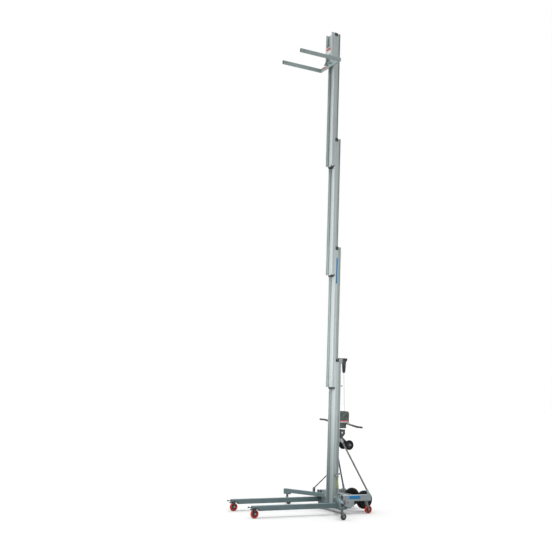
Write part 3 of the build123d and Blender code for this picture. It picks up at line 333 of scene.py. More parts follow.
def wheel(name, tread, hub, centre, tread_from, shine):
    """Wheel with a tread outside a radius and a hub inside it, both a little cloudy and grained."""
    s = Shader(name)
    r = s.radius(centre[1], centre[2])
    grain = s.noise(900.0, detail=2.0)
    cloud = s.noise(50.0, detail=4.0)
    outer = s.math("GREATER_THAN", r, tread_from)
    tread_tone = s.mix(s.span(cloud, 0.3, 0.7), shade(tread, 0.8), shade(tread, 1.2))
    hub_tone = s.mix(s.span(cloud, 0.3, 0.7), shade(hub, 0.7), shade(hub, 1.3))
    s.set(Base_Color=s.mix(outer, hub_tone, tread_tone), Specular_IOR_Level=shine,
          Roughness=s.span(cloud, 0.3, 0.7, 0.44, 0.62))
    s.bump(grain, 0.2, 0.0003)
    return s.material


def cable():
    """Wire rope: twisted strands as slanted ridges, darker in the valleys, partly grease and partly painted
    shade.
    """
    s = Shader("lift_cable")
    slant = s.math("ADD", s.axis("Z"), s.math("MULTIPLY", s.axis("X"), 1.6))
    # The valleys are drawn darker, partly as grease and partly as painted shade between the strands.
    pitch, valley_grease_and_shade, crown = 0.004, (0.30, 0.30, 0.30), (0.78, 0.78, 0.79)
    ridge = s.math("SINE", s.math("MULTIPLY", s.math("ADD", slant, s.axis("Y")), 2 * math.pi / pitch))
    s.set(Base_Color=s.mix(s.span(ridge, -0.8, 0.6), valley_grease_and_shade, crown), Metallic=0.5, Roughness=0.4)
    s.bump(ridge, 0.6, 0.0006)
    return s.material


def bolt_finish():
    """Zinc-plated heads with a faint yellow cast and dirt in patches."""
    s = Shader("lift_bolts")
    cloud = s.noise(240.0, detail=4.0)
    dirt, plating = (0.20, 0.20, 0.19), (0.50, 0.49, 0.45)
    s.set(Base_Color=s.mix(s.span(cloud, 0.35, 0.7), dirt, plating), Metallic=0.6,
          Roughness=s.span(cloud, 0.3, 0.7, 0.28, 0.45))
    return s.material


def weld_finish():
    """Painted-over weld: a fine random grain of lighter and darker tone."""
    s = Shader("lift_welds")
    grain = s.noise(600.0, detail=3.0)
    base = tuple(props()[0].steel)
    s.set(Base_Color=s.mix(s.span(grain, 0.35, 0.7), shade(base, 0.7), shade(base, 1.25)), Metallic=0.2,
          Roughness=s.span(grain, 0.3, 0.7, 0.4, 0.6))
    s.bump(grain, 0.3, 0.0003)
    return s.material


def strip_finish(name, first, second=None, split=0.0):
    """Plain laminated strip: one colour, or two that meet at a height, with a soft sheen and scuffs."""
    s = Shader(name)
    cloud = s.noise(120.0, detail=4.0)
    tone = s.mix(s.span(cloud, 0.55, 0.8), first, shade(first, 0.8))
    if second:
        upper = s.math("GREATER_THAN", s.axis("Z"), split)
        tone = s.mix(upper, tone, second)
    s.set(Base_Color=tone, Roughness=s.span(cloud, 0.3, 0.7, 0.3, 0.42))
    return s.material


def finish_node(name, material):
    """Gives a carried-over CAD node its material."""
    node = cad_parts[name]
    node.data.materials.clear()
    node.data.materials.append(material)


# Surface helpers
def mesh_piece(name, shapes, material, body, smooth=True):
    """One new piece from several closed surfaces, at the origin, riding on a body."""
    points = np.vstack([grid for grid, _ in shapes])
    starts = np.cumsum([0] + [len(grid) for grid, _ in shapes[:-1]])
    quads = np.vstack([faces + start for (_, faces), start in zip(shapes, starts)])
    mesh = bpy.data.meshes.new(name)
    mesh.from_pydata(points.tolist(), [], quads.tolist())
    shell = bmesh.new()
    shell.from_mesh(mesh)
    bmesh.ops.remove_doubles(shell, verts=shell.verts, dist=1e-7)
    bmesh.ops.recalc_face_normals(shell, faces=shell.faces)
    shell.to_mesh(mesh)
    shell.free()
    mesh.materials.append(material)
    mesh.polygons.foreach_set("use_smooth", np.full(len(mesh.polygons), smooth))
    mesh.update()
    piece = bpy.data.objects.new(name, mesh)
    bpy.context.collection.objects.link(piece)
    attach(piece, body)
    return piece


def grid_faces(rows, columns, closed_rows=False):
    """Quads between neighbouring rows of points; every row is a closed ring."""
    index = np.arange(rows * columns).reshape(rows, columns)
    above = np.roll(index, -1, axis=0)
    quads = np.stack((index, np.roll(index, -1, axis=1), np.roll(above, -1, axis=1), above), axis=-1)
    return (quads if closed_rows else quads[:-1]).reshape(-1, 4)


def axes_of(axis):
    """Three unit vectors: two across the axis and the axis itself."""
    w = np.asarray(axis, float)
    w = w / np.linalg.norm(w)
    u = np.cross((0, 0, 1), w)
    if np.linalg.norm(u) < 0.1:
        u = np.cross((0, 1, 0), w)
    u = u / np.linalg.norm(u)
    return u, np.cross(w, u), w


def lathe(profile, centre, axis, sides=32):
    """Turned surface: each profile point is carried round the axis, at its own radius and height.

    P(t, a) = centre + axis * height(t) + radius(t) * (u * cos a + v * sin a)
    """
    u, v, w = axes_of(axis)
    angle = np.linspace(0, 2 * math.pi, sides, endpoint=False)
    radius, height = np.asarray(profile, float).T
    ring = np.outer(np.cos(angle), u) + np.outer(np.sin(angle), v)
    points = np.asarray(centre) + height[:, None, None] * w + radius[:, None, None] * ring
    return points.reshape(-1, 3), grid_faces(len(profile), sides)


def hex_head(centre, axis, size):
    """Bolt head of width size across its flats on a washer, with a chamfered top."""
    washer = [(0.0, 0.0), (size * 0.62, 0.0), (size * 0.62, size * 0.09), (size * 0.5, size * 0.1),
              (0.0, size * 0.1)]
    head = [(0.0, size * 0.09), (size * 0.577, size * 0.09), (size * 0.577, size * 0.44),
            (size * 0.5, size * 0.5), (0.0, size * 0.5)]
    return [lathe(washer, centre, axis, 20), lathe(head, centre, axis, 6)]


def button_head(centre, axis, size):
    """Round head with a socket: a low dome with a sunk middle."""
    dome = [(0.0, 0.0), (size * 0.5, 0.0), (size * 0.5, size * 0.08), (size * 0.42, size * 0.22),
            (size * 0.26, size * 0.28), (size * 0.24, size * 0.28), (size * 0.22, size * 0.12),
            (0.0, size * 0.12)]
    return [lathe(dome, centre, axis, 18)]


def plate(centre, across, along, thick, square=10.0, sides=48):
    """Plate with rounded corners: a superellipse close to a rectangle is lifted, and drawn in at its top.

    P(t, a) = centre + normal * height(t) + size(t) * (across * cos^q a + along * sin^q a), where q is
    2 / square and size(t) shrinks by the edge's softness, 1 mm at most, towards the top.
    """
    across, along = np.asarray(across, float), np.asarray(along, float)
    half = np.array((np.linalg.norm(across), np.linalg.norm(along)))
    u, v = across / half[0], along / half[1]
    normal = np.cross(u, v)
    angle = np.linspace(0, 2 * math.pi, sides, endpoint=False)
    outline = np.stack((np.cos(angle), np.sin(angle)), axis=1)
    outline = np.sign(outline) * np.abs(outline) ** (2 / square)
    soft = min(0.001, thick, half.min() * 0.5)
    inset = np.array((0.0, 0.0, soft * 0.3, soft))
    height = np.array((0.0, 0.0, thick - soft, thick - soft * 0.3, thick, thick))
    size = np.vstack(((0.0, 0.0), half - inset[:, None], (0.0, 0.0)))
    flat = outline[None, :, :] * size[:, None, :]
    points = np.asarray(centre) + flat[..., :1] * u + flat[..., 1:] * v + height[:, None, None] * normal
    return points.reshape(-1, 3), grid_faces(len(height), sides)


def spread(corners, step=0.0016, closed=False):
    """Evenly spaced points along straight runs between corners."""
    corners = np.asarray(corners, float)
    if closed:
        corners = np.vstack((corners, corners[:1]))
    reach = np.concatenate(((0.0,), np.cumsum(np.linalg.norm(np.diff(corners, axis=0), axis=1))))
    count = max(4, int(round(reach[-1] / step)))
    marks = np.linspace(0, reach[-1], count, endpoint=not closed)
    return np.stack([np.interp(marks, reach, corners[:, i]) for i in range(3)], axis=1)


def bead(corners, normal, closed=False, sides=8):
    """Weld bead: a small circle is carried along the path, and swells and shrinks once for each ripple.

    P(s, a) = path(s) + radius * (0.8 + 0.2 * |sin(pi * s / ripple)|) * (up * cos a + side * sin a), where
    s counts the path's points.
    """
    radius, ripple = props()[1].bead, 2.6
    path = spread(corners, closed=closed)
    if closed:
        tangent = np.roll(path, -1, axis=0) - np.roll(path, 1, axis=0)
    else:
        tangent = np.gradient(path, axis=0)
    tangent = tangent / np.linalg.norm(tangent, axis=1)[:, None]
    up = np.asarray(normal, float)
    side = np.cross(tangent, up)
    side = side / np.linalg.norm(side, axis=1)[:, None]
    up = np.cross(side, tangent)
    angle = np.linspace(0, 2 * math.pi, sides, endpoint=False)
    swell = radius * (0.8 + 0.2 * np.abs(np.sin(math.pi * np.arange(len(path)) / ripple)))
    if not closed:
        swell[0] = swell[-1] = 0.0
    ring = np.cos(angle)[:, None] * up[:, None, :] + np.sin(angle)[:, None] * side[:, None, :]
    points = path[:, None, :] + swell[:, None, None] * ring
    return points.reshape(-1, 3), grid_faces(len(path), sides, closed_rows=closed)


def rail(profile, centre, start, stop, steps=28):
    """Arch trim: a closed section of radius and x is turned about the X axis through the centre.

    P(t, a) = centre + (x(t), radius(t) * cos a, radius(t) * sin a), for a from start to stop in degrees
    """
    angle = np.radians(np.linspace(start, stop, steps))
    radius, across = np.asarray(profile, float).T
    y = centre[1] + np.outer(np.cos(angle), radius)
    z = centre[2] + np.outer(np.sin(angle), radius)
    x = np.broadcast_to(centre[0] + across, y.shape)
    rings = np.stack((x, y, z), axis=-1)
    ends = [np.broadcast_to(rings[i].mean(axis=0), rings[i].shape)[None] for i in (0, -1)]
    points = np.concatenate((ends[0], rings, ends[1]))
    return points.reshape(-1, 3), grid_faces(steps + 2, len(profile))


def side_centre(node):
    """Middle of a node's box and half its size."""
    low, high = (np.array(corner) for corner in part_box(node))
    return (low + high) / 2, (high - low) / 2


def arm_axes(side):
    """Unit vectors along a stabilizer's arm and across it, level."""
    outward = np.array((side * math.cos(ARM_SPLAY), -math.sin(ARM_SPLAY), 0.0))
    return outward, np.array((-outward[1], outward[0], 0.0))


def arm_pivot(side):
    """Where a stabilizer's pin crosses the middle of its arm."""
    return np.array((side * ARM_PIVOT[0], *ARM_PIVOT[1:]))


# Operators
class LiftOperator:
    """Shared options of the lift's operators."""
    bl_options = {"REGISTER", "UNDO"}


class OBJECT_OT_lift_finishes(LiftOperator, bpy.types.Operator):
    """Give every CAD node its procedural material"""
    bl_idname = "object.lift_finishes"
    bl_label = "Lift Finishes"

    def execute(self, context):
        colours = context.scene.lift_colours
        steel, arm, dark = tuple(colours.steel), tuple(colours.arm), tuple(colours.dark)
        made = {
            "aluminium": aluminium(), "crank": crank_steel(), "cable": cable(),
            "steel": coated_steel("lift_coated_steel", steel),
            "fork": coated_steel("lift_fork_steel", tuple(colours.fork)),
            "arm": coated_steel("lift_rear_arm_steel", arm),
            "tube": coated_steel("lift_tube_steel", tuple(colours.tube)),
            "base": split_steel("lift_base_steel", shade(steel, 0.75), shade(arm, 1.2), MAST_REAR - 0.04),
            "top": split_steel("lift_bracket_steel", (0.42, 0.44, 0.44), shade(dark, 0.5),
                               MAST_REAR + 0.062),
            "zinc": zinc("lift_zinc", tuple(colours.zinc)),
            "stay": zinc("lift_dark_zinc", shade(tuple(colours.zinc), 0.45)),
            "bracket": zinc("lift_bracket_zinc", shade(tuple(colours.zinc), 0.24)),
            "dark": paint("lift_dark_paint", dark, 0.42, 0.15),
            "cover": paint("lift_cover_paint", tuple(colours.cover), 0.45, 0.45),
            "black": plastic("lift_black_plastic", tuple(colours.black), 0.5),
        }
        rules = (("mast_column", "aluminium"), ("carriage_pads", "black"), ("carriage", "aluminium"),
                 ("column_pads", "black"), ("crank_grip", "black"), ("upper_sheave", "black"),
                 ("lower_sheave", "black"), ("rear_pulley", "black"), ("winch_cable", "cable"),
                 ("winch_crank", "crank"), ("winch_cover", "cover"), ("top_pulley", "top"),
                 ("front_caster_fork", "dark"), ("loading_wheel_bracket", "bracket"),
                 ("leg_bumpers", "black"), ("winch_", "zinc"), ("mast_brackets", "zinc"),
                 ("rest_peg", "zinc"), ("rear_braces", "tube"), ("rear_caster", "stay"),
                 ("rear_arms", "arm"), ("stabilizer_stay", "stay"), ("stabilizer_caster", "stay"),
                 ("fork_", "fork"), ("base_frame", "base"), ("rear_cross_beam", "stay"))
        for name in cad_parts:
            key = next((material for start, material in rules if name.startswith(start)), "steel")
            finish_node(name, made[key])
        wheels = (("front_wheel", colours.red, colours.hub, 0.62, 0.4),
                  ("rear_wheel", colours.red, colours.hub, 0.62, 0.4),
                  ("stabilizer_wheel", colours.grey_tyre, colours.zinc, 0.45, 0.3),
                  ("transport_wheel", colours.tyre, colours.tyre, 0.58, 0.15),
                  ("loading_wheel", colours.tyre, colours.hub, 0.6, 0.15))
        for stem, tread, hub, hub_share, shine in wheels:
            low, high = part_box(f"{stem}_left")
            centre, radius = (Vector(low) + Vector(high)) / 2, (high[2] - low[2]) / 2
            material = wheel(f"lift_{stem}", tuple(tread), tuple(hub), centre, radius * hub_share, shine)
            for hand, _ in HANDS:
                finish_node(f"{stem}_{hand}", material)
        return {"FINISHED"}


class OBJECT_OT_lift_tyres(LiftOperator, bpy.types.Operator):
    """Model the transport wheels with treads, rims and spokes in place of their plain solids"""
    bl_idname = "object.lift_tyres"
    bl_label = "Transport Tyres"

    def execute(self, context):
        for hand, _ in HANDS:
            node = f"transport_wheel_{hand}"
            centre, half = side_centre(node)
            piece = mesh_piece(f"tyre_{hand}", [tyre(centre, half[2], half[0])],
                               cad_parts[node].data.materials[0], node)
            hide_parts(node)
        return {"FINISHED"}


def tyre(centre, radius, half, sides=144, lugs=24, spokes=5):
    """Tyre on a spoked rim: a closed section is carried round the axle, and cut by two waves.

    P(t, a) = centre + x(t, a) along X + r(t, a) outwards. r drops by the groove's depth where a slanted
    wave over the tread is past its crest, and x sinks by a spoke wave between the hub and the rim.
    """
    depth = props()[1].lug
    drawn_radius, slant, spoke_depth = 0.118, 2.4, 0.22
    hub_edge, rim_edge, fade = 0.026, 0.061, 0.006
    outer = np.array(((0.0082, 0.94), (0.020, 0.94), (0.0225, 0.88), (0.025, 0.50), (0.034, 0.44),
                      (0.050, 0.44), (0.060, 0.50), (0.064, 0.66), (0.068, 0.87), (0.076, 0.97),
                      (0.090, 1.0), (0.103, 0.93), (0.110, 0.80), (0.1155, 0.62), (0.1178, 0.42),
                      (0.118, 0.20), (0.118, 0.04)))
    section = np.vstack((outer * (1, -1), outer[::-1]))
    angle = np.linspace(0, 2 * math.pi, sides, endpoint=False)[None, :]
    r = section[:, :1] * radius / drawn_radius
    x = section[:, 1:]
    wave = np.sin(lugs * angle + slant * np.abs(x))
    groove = np.clip((wave - 0.35) / 0.3, 0, 1) * np.clip((r / radius - 0.9) / 0.06, 0, 1)
    web = np.clip((r - hub_edge) / fade, 0, 1) * np.clip((rim_edge - r) / fade, 0, 1)
    sink = web * spoke_depth * np.clip(0.6 - np.cos(spokes * angle), 0, 1)
    r = r - depth * groove
    x = half * np.sign(x) * (np.abs(x) - sink)
    points = np.stack((centre[0] + x, centre[1] + r * np.cos(angle), centre[2] + r * np.sin(angle)), axis=-1)
    return points.reshape(-1, 3), grid_faces(len(section), sides, closed_rows=True)


class OBJECT_OT_lift_wheel_trim(LiftOperator, bpy.types.Operator):
    """Add bearing caps to the wheels and ball races to the swivels"""
    bl_idname = "object.lift_wheel_trim"
    bl_label = "Wheel Trim"

    def execute(self, context):
        metal = zinc("lift_bearing_cap", (0.22, 0.23, 0.23))
        cap_radii = (("front_wheel", 0.016), ("rear_wheel", 0.016), ("stabilizer_wheel", 0.012),
                     ("loading_wheel", 0.018))
        ring = np.array(((0.0195, -0.004), (0.0235, -0.004), (0.0255, 0.0), (0.0235, 0.004),
                         (0.0195, 0.004), (0.0195, -0.004)))
        for hand, side in HANDS:
            for stem, size in cap_radii:
                node = f"{stem}_{hand}"
                centre, half = side_centre(node)
                cap = [(0.0, -0.001), (size, -0.001), (size, 0.0004), (size * 0.8, 0.0013),
                       (size * 0.55, 0.0015), (0.0, 0.0015)]
                caps = [lathe(cap, centre + (face * half[0], 0, 0), (face, 0, 0), 28) for face in (-1, 1)]
                mesh_piece(f"bearing_{node}", caps, metal, node)
            races = [lathe(ring, (side * LEG_X, REAR_SWIVEL[0], REAR_SWIVEL[1] + lift), (0, 0, 1), 36)
                     for lift in (0.0, 0.012)]
            mesh_piece(f"race_rear_{hand}", races, metal, "base")
            drop = arm_pivot(side) + arm_axes(side)[0] * ARM_TO_CASTER
            race = lathe(ring * (0.77, 0.7), (drop[0], drop[1], 0.1095), (0, 0, 1), 30)
            mesh_piece(f"race_stabilizer_{hand}", [race], metal, f"stabilizer_{hand}")
        return {"FINISHED"}


class OBJECT_OT_lift_fasteners(LiftOperator, bpy.types.Operator):
    """Add bolt heads and nuts where plates, casters and brackets are held"""
    bl_idname = "object.lift_fasteners"
    bl_label = "Lift Fasteners"

    def execute(self, context):
        plated = bolt_finish()
        bolts = {}

        def bolt(body, centre, axis, size, shape=hex_head):
            bolts.setdefault(body, []).extend(shape(np.array(centre), axis, size))

        side_plate_bolts = ((-0.05, 0.115), (-0.05, 0.155), (0.075, 0.106), (0.072, 0.148))
        hood_screws = ((0.02, 1.085), (0.02, 1.262), (0.115, 1.262), (0.125, 1.165))
        axle_end, crank_end = 0.112, (0.173, MAST_REAR + 0.062, 1.123)
        bracket_half, lug_half, lug_level = 0.0305, 0.015, 0.075
        frame_half = side_centre("base_frame")[1]
        cover, cover_half = side_centre("winch_cover")
        for side in (-1, 1):
            for along, level in side_plate_bolts:
                bolt("base", (side * frame_half[0], MAST_REAR + along, level), (side, 0, 0), 0.015)
            for level in (0.916, 0.9):
                bolt("base", (side * 0.088, MAST_REAR + 0.008, level), (0, 1, 0), 0.01, button_head)
            for along, level in hood_screws:
                bolt("base", (cover[0] + side * cover_half[0], MAST_REAR + along, level), (side, 0, 0), 0.009,
                     button_head)
        for level in (1.08, 1.18, 1.27):
            bolt("base", (-0.063, MAST_REAR + 0.006, level), (0, 1, 0), 0.011)
        for number in range(1, 5):
            centre, half = side_centre(f"column_pads_{number}")
            top = centre[2] + half[2]
            rear = MAST_REAR - (number - 1) * COLUMN_STEP
            body = "base" if number == 1 else f"column_{number}"
            for side in (-1, 1):
                for drop in (0.011, 0.033):
                    bolt(body, (side * half[0], rear - 0.067, top - drop), (side, 0, 0), 0.01, button_head)
        for hand, side in HANDS:
            for stem, body, size in ((f"front_wheel_{hand}", "base", 0.017),
                                     (f"rear_wheel_{hand}", f"rear_caster_{hand}", 0.017),
                                     (f"stabilizer_wheel_{hand}", f"stabilizer_caster_{hand}", 0.013)):
                hub, half = side_centre(stem)
                for face in (-1, 1):
                    bolt(body, (hub[0] + face * (half[0] + 0.005), hub[1], hub[2]), (face, 0, 0), size)
            outward, across = arm_axes(side)
            pivot = arm_pivot(side)
            for face in (-1, 1):
                bolt("base", pivot + across * face * bracket_half, across * face, 0.024)
            foot = pivot + outward * ARM_TO_STAY + np.array((0, 0, lug_level))
            for face in (-1, 1):
                bolt(f"stabilizer_{hand}", foot + across * face * lug_half, across * face, 0.013)
            loading = side_centre(f"loading_wheel_{hand}")[0]
            bolt("base", (side * axle_end, *loading[1:]), (side, 0, 0), 0.016, button_head)
            bolt("crank", (side * crank_end[0], *crank_end[1:]), (side, 0, 0), 0.018)
            for along in (-0.024, 0.024):
                for beside in (-0.017, 0.017):
                    bolt("base", (side * (LEG_X + beside), REAR_SWIVEL[0] + along, 0.155), (0, 0, -1), 0.008)
        for x in (-0.21, 0.21):
            bolt("carriage", (x, CROSSBAR_FRONT, CROSSBAR_LEVEL), (0, -1, 0), 0.016)
        for level in (6.145, 6.235):
            for x in (-0.071, 0.071):
                bolt("carriage", (x, CARRIAGE_FRONT - CARRIAGE_PLATE, level), (0, -1, 0), 0.008, button_head)
        for body, heads in bolts.items():
            mesh_piece(f"bolts_{body}", heads, plated, body, smooth=False)
        return {"FINISHED"}


class OBJECT_OT_lift_caps(LiftOperator, bpy.types.Operator):
    """Add plastic plugs in the tube ends and dark lining in the wheel arches"""
    bl_idname = "object.lift_caps"
    bl_label = "Tube Caps"

    def execute(self, context):
        black = plastic("lift_cap_plastic", tuple(context.scene.lift_colours.black), 0.42)
        plug = [(0.0, -0.001), (0.0185, -0.001), (0.0185, 0.0008), (0.016, 0.0016), (0.0, 0.0016)]
        lining = [(0.0664, -0.0262), (0.0725, -0.0262), (0.0725, 0.0262), (0.0664, 0.0262)]
        for hand, side in HANDS:
            outward = arm_axes(side)[0]
            end = arm_pivot(side) + outward * 0.690
            mesh_piece(f"cap_stabilizer_{hand}", [lathe(plug, end, outward, 30)], black,
                       f"stabilizer_{hand}")
            arch = (side * LEG_X, *ARCH_CENTRE)
            mesh_piece(f"cap_arch_{hand}", [rail(lining, arch, 32.0, 137.0)], black, "base")
            mesh_piece(f"cap_rear_arm_{hand}",
                       [plate((side * LEG_X, 0.8085, 0.1975), (-0.0225, 0, 0), (0, 0, 0.035), 0.0025)],
                       black, "base")
            mesh_piece(f"cap_fork_{hand}",
                       [plate((side * 0.2475, y, CROSSBAR_LEVEL), (half, 0, 0), (0, 0, 0.0243), 0.003)
                        for y, half in ((-0.3955, 0.0118), (0.2205, -0.0118))],
                       black, "carriage")
        mesh_piece("carriage_plate",
                   [plate((0, CARRIAGE_FRONT, 6.19), (0.078, 0, 0), (0, 0, 0.056), CARRIAGE_PLATE,
                          square=24.0)],
                   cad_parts["carriage"].data.materials[0], "carriage")
        return {"FINISHED"}


class OBJECT_OT_lift_welds(LiftOperator, bpy.types.Operator):
    """Add rippled weld beads where tubes and plates join"""
    bl_idname = "object.lift_welds"
    bl_label = "Weld Beads"

    def execute(self, context):
        painted = weld_finish()
        base, carriage = [], []
        collar = ((-0.046, -0.021), (-0.046, 0.021), (-0.042, 0.0255), (0.042, 0.0255), (0.042, -0.0255),
                  (-0.042, -0.0255))
        brace_foot = ((-0.02, -0.023), (0.02, -0.023), (0.02, 0.023), (-0.02, 0.023))
        beam_end = ((-0.0215, -0.0265), (0.0215, -0.0265), (0.0215, 0.0265), (-0.0215, 0.0265))
        for hand, side in HANDS:
            outward, across = arm_axes(side)
            joint = arm_pivot(side) + outward * ARM_TO_CASTER + np.array((0, 0, -0.025))
            loop = [joint + outward * a + across * b for a, b in collar]
            arm = [bead(loop, (0, 0, 1), closed=True)]
            foot = arm_pivot(side) + outward * ARM_TO_STAY + np.array((0, 0, 0.025))
            for offset in (-0.0155, 0.0155):
                arm.append(bead([foot + outward * a + across * offset for a in (-0.011, 0.011)], (0, 0, 1)))
            mesh_piece(f"welds_stabilizer_{hand}", arm, painted, f"stabilizer_{hand}")
            pad = np.array((side * LEG_X, MAST_REAR + 0.321, 0.235))
            base.append(bead([pad + (a, b, 0) for a, b in brace_foot], (0, 0, 1), closed=True))
            beam = np.array((side * 0.273, 0.6635, 0.185))
            base.append(bead([beam + (0, a, b) for a, b in beam_end], (1, 0, 0), closed=True))
            # Two passes side by side.
            for edge in (0.0413, 0.0417):
                x = side * edge
                base.append(bead([(x, MAST_REAR + 0.001, 0.955), (x, MAST_REAR + 0.001, 1.042)], (0, 1, 0)))
            for edge in (-0.0035, 0.0035):
                place = (side * 0.048 + edge, CARRIAGE_FRONT - 0.0005)
                carriage.append(bead([(*place, 6.020), (*place, 6.108)], (0, -1, 0)))
            corner = (side * 0.2345, CROSSBAR_FRONT - 0.0005)
            carriage.append(bead([(*corner, 5.970), (*corner, 6.014)], (-side, -1, 0)))
        mesh_piece("welds_base", base, painted, "base")
        mesh_piece("welds_carriage", carriage, painted, "carriage")
        return {"FINISHED"}


class OBJECT_OT_lift_strips(LiftOperator, bpy.types.Operator):
    """Add the plain coloured strips, left bare"""
    bl_idname = "object.lift_strips"
    bl_label = "Lift Strips"

    def execute(self, context):
        colours, sizes = props()
        blue, red, white = tuple(colours.blue), tuple(colours.red_strip), tuple(colours.white_strip)
        second = MAST_REAR - COLUMN_STEP
        strips = [
            ("strip_column_2", "column_2", (0.08, second - 0.061, 3.135), (0, 0.011, 0), (0, 0, 0.175),
             strip_finish("lift_blue_strip", blue)),
            ("strip_column_1", "base", (0.064, MAST_REAR - 0.024, 0.3755), (0, 0.016, 0), (0, 0, 0.0795),
             strip_finish("lift_lime_strip", tuple(colours.lime))),
            ("strip_rear_arm", "base", (0.3235, 0.5625, 0.2095), (0, 0.082, 0), (0, 0, 0.0205),
             strip_finish("lift_arm_strip", blue)),
            ("strip_side_plate", "base", (0.3285, 0.458, 0.1495), (0, 0.0175, 0), (0, 0, 0.0065),
             strip_finish("lift_plate_strip", red)),
            ("strip_crossbar", "carriage", (-0.14, CROSSBAR_FRONT, 5.996), (0.04, 0, 0), (0, 0, 0.011),
             strip_finish("lift_crossbar_strip", red)),
            ("strip_carriage", "carriage", (0.004, CARRIAGE_FRONT - CARRIAGE_PLATE, 6.19), (0.052, 0, 0),
             (0, 0, 0.045), strip_finish("lift_carriage_strip", white, red, 6.195)),
        ]
        hood_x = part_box("winch_cover")[0][0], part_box("winch_cover")[1][0]
        band = strip_finish("lift_hood_strip", white, red, 1.1495)
        for hand, x, along in (("left", hood_x[1], 0.0625), ("right", hood_x[0], -0.0625)):
            strips.append((f"strip_hood_{hand}", "base", (x, 0.537, 1.1505), (0, along, 0), (0, 0, 0.0135),
                           band))
        for name, body, centre, across, along, material in strips:
            mesh_piece(name, [plate(centre, across, along, sizes.strip, square=14.0)], material, body)
        return {"FINISHED"}


class OBJECT_OT_lift_studio(LiftOperator, bpy.types.Operator):
    """Add the floor, the studio light and the camera"""
    bl_idname = "object.lift_studio"
    bl_label = "Lift Studio"

    def execute(self, context):
        add_light(add_floor())
        add_camera()
        return {"FINISHED"}


def add_floor():
    """A large floor, white for the camera and in reflections, that keeps the shadow."""
    mesh = bpy.data.meshes.new("studio_floor")
    half = 60.0
    corners = [(-half, -half, 0), (half, -half, 0), (half, half, 0), (-half, half, 0)]
    mesh.from_pydata(corners, [], [(0, 1, 2, 3)])
    floor = bpy.data.objects.new("studio_floor", mesh)
    bpy.context.collection.objects.link(floor)
    s = Shader("studio_floor")
    grain = s.noise(3.0, detail=2.0)
    pale = s.mix(s.span(grain, 0.4, 0.6), (0.785, 0.77, 0.76), (0.80, 0.784, 0.775))
    path = s.node("ShaderNodeLightPath")
    seen = s.math("MAXIMUM", path.outputs["Is Camera Ray"], path.outputs["Is Glossy Ray"])
    bounce = (0.16, 0.16, 0.16)
    s.set(Base_Color=s.mix(seen, bounce, pale), Roughness=0.9)
    mesh.materials.append(s.material)
    return floor


def add_light(floor):
    """White surroundings for the camera and in reflections, light from above, and lamps for the part.

    What lights the part is strongest straight up: strength = overhead * up ** 2 + level.
    """
    overhead, level = 1.75, 0.20
    scene = bpy.context.scene
    scene.world = bpy.data.worlds.new("studio")
    scene.world.use_nodes = True
    world = Nodes(scene.world.node_tree)
    out = world.node("ShaderNodeOutputWorld")
    seen = world.node("ShaderNodeBackground")
    seen.inputs["Color"].default_value = (1, 1, 1, 1)
    lit = world.node("ShaderNodeBackground")
    lit.inputs["Color"].default_value = (0.96, 0.985, 1.0, 1)
    split = world.node("ShaderNodeSeparateXYZ")
    world.link(world.node("ShaderNodeTexCoord").outputs["Generated"], split.inputs[0])
    up = world.math("POWER", split.outputs["Z"], 2.0, clamp=True)
    world.put(lit.inputs["Strength"], world.math("MULTIPLY_ADD", up, overhead, level))
    path = world.node("ShaderNodeLightPath")
    white = path.outputs["Is Camera Ray"]
    for name in ("Is Glossy Ray", "Is Transmission Ray"):
        white = world.math("MAXIMUM", white, path.outputs[name])
    mix = world.node("ShaderNodeMixShader")
    world.link(white, mix.inputs[0])
    world.link(lit.outputs[0], mix.inputs[1])
    world.link(seen.outputs[0], mix.inputs[2])
    world.link(mix.outputs[0], out.inputs["Surface"])

    shaded = bpy.data.collections.new("lamps_leave_out")
    shaded.objects.link(floor)
    shaded.collection_objects[0].light_linking.link_state = "EXCLUDE"
    for name, energy, place, target in (("front_lamp", 64.0, (1.2, -2.0, 2.1), (0.0, 0.35, 2.1)),
                                        ("high_lamp", 28.0, (-0.9, -2.2, 5.0), (0.0, 0.3, 5.0))):
        lamp = add_lamp(name, "AREA", energy)
        lamp.data.shape = "DISK"
        lamp.data.size = 1.2
        lamp.data.color = (1.0, 0.995, 0.97)
        lamp.location = place
        lamp.rotation_euler = (Vector(target) - Vector(place)).to_track_quat("-Z", "Y").to_euler()
        lamp.visible_camera = False
        lamp.light_linking.receiver_collection = shaded
    add_lamp("top_lamp", "SUN", 0.9).data.angle = math.radians(24.0)


def add_lamp(name, kind, energy):
    """A lamp at the origin that shines down."""
    data = bpy.data.lights.new(name, kind)
    data.energy = energy
    lamp = bpy.data.objects.new(name, data)
    bpy.context.collection.objects.link(lamp)
    return lamp


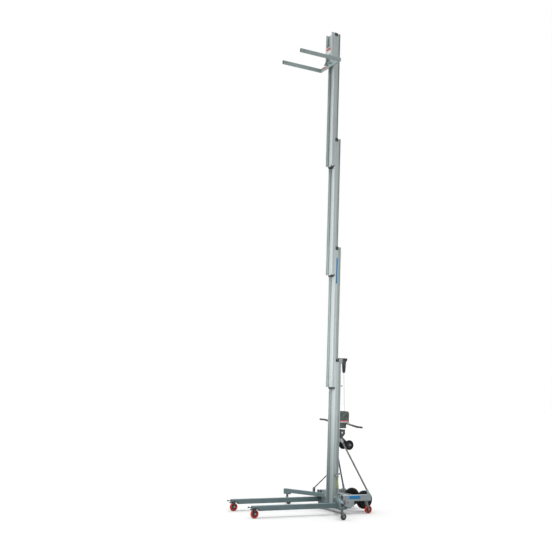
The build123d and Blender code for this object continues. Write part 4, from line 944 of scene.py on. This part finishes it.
def add_camera():
    """The photograph's camera: position, direction and roll solved from it, set for a square picture."""
    scene = bpy.context.scene
    sizes = scene.lift_sizes
    turn, pitch, roll = math.radians(62.6525), math.radians(7.5056), math.radians(2.0322)
    forward = Vector((-math.sin(turn) * math.cos(pitch), math.cos(turn) * math.cos(pitch), math.sin(pitch)))
    right = Vector((math.cos(turn), math.sin(turn), 0))
    up = right.cross(forward)
    across = right * math.cos(roll) + up * math.sin(roll)
    upright = up * math.cos(roll) - right * math.sin(roll)
    data = bpy.data.cameras.new("camera")
    focal_pixels, picture_pixels = 841.1937, 552
    data.sensor_width = 36
    data.lens = data.sensor_width * focal_pixels / picture_pixels
    data.clip_end = 200
    camera = bpy.data.objects.new("camera", data)
    bpy.context.collection.objects.link(camera)
    rotation = Matrix((across, upright, -forward)).transposed()
    camera.rotation_mode = "QUATERNION"
    camera.rotation_quaternion = rotation.to_quaternion()
    camera.location = (sizes.camera_x, sizes.camera_y, sizes.camera_z)
    scene.camera = camera
    scene.view_settings.view_transform = "Standard"


# Panel and registration
class VIEW3D_PT_lift(bpy.types.Panel):
    """The lift's colours, sizes and operators"""
    bl_label = "Material Lift"
    bl_idname = "VIEW3D_PT_lift"
    bl_space_type = "VIEW_3D"
    bl_region_type = "UI"
    bl_category = "Lift"

    def draw(self, context):
        for group in (context.scene.lift_colours, context.scene.lift_sizes):
            box = self.layout.box()
            for key in group.__annotations__:
                box.prop(group, key)
        for kind in OPERATORS:
            self.layout.operator(kind.bl_idname)


OPERATORS = (OBJECT_OT_lift_finishes, OBJECT_OT_lift_tyres, OBJECT_OT_lift_wheel_trim,
             OBJECT_OT_lift_fasteners, OBJECT_OT_lift_caps, OBJECT_OT_lift_welds, OBJECT_OT_lift_strips,
             OBJECT_OT_lift_studio)
CLASSES = (LiftColours, LiftSizes, *OPERATORS, VIEW3D_PT_lift)


def register():
    for kind in CLASSES:
        bpy.utils.register_class(kind)
    bpy.types.Scene.lift_colours = PointerProperty(type=LiftColours)
    bpy.types.Scene.lift_sizes = PointerProperty(type=LiftSizes)


def unregister():
    del bpy.types.Scene.lift_sizes
    del bpy.types.Scene.lift_colours
    for kind in reversed(CLASSES):
        bpy.utils.unregister_class(kind)


def main():
    register()
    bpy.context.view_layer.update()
    bpy.ops.object.lift_finishes()
    bpy.ops.object.lift_tyres()
    bpy.ops.object.lift_wheel_trim()
    bpy.ops.object.lift_fasteners()
    bpy.ops.object.lift_caps()
    bpy.ops.object.lift_welds()
    bpy.ops.object.lift_strips()
    bpy.ops.object.lift_studio()


if __name__ == "__main__":
    main()
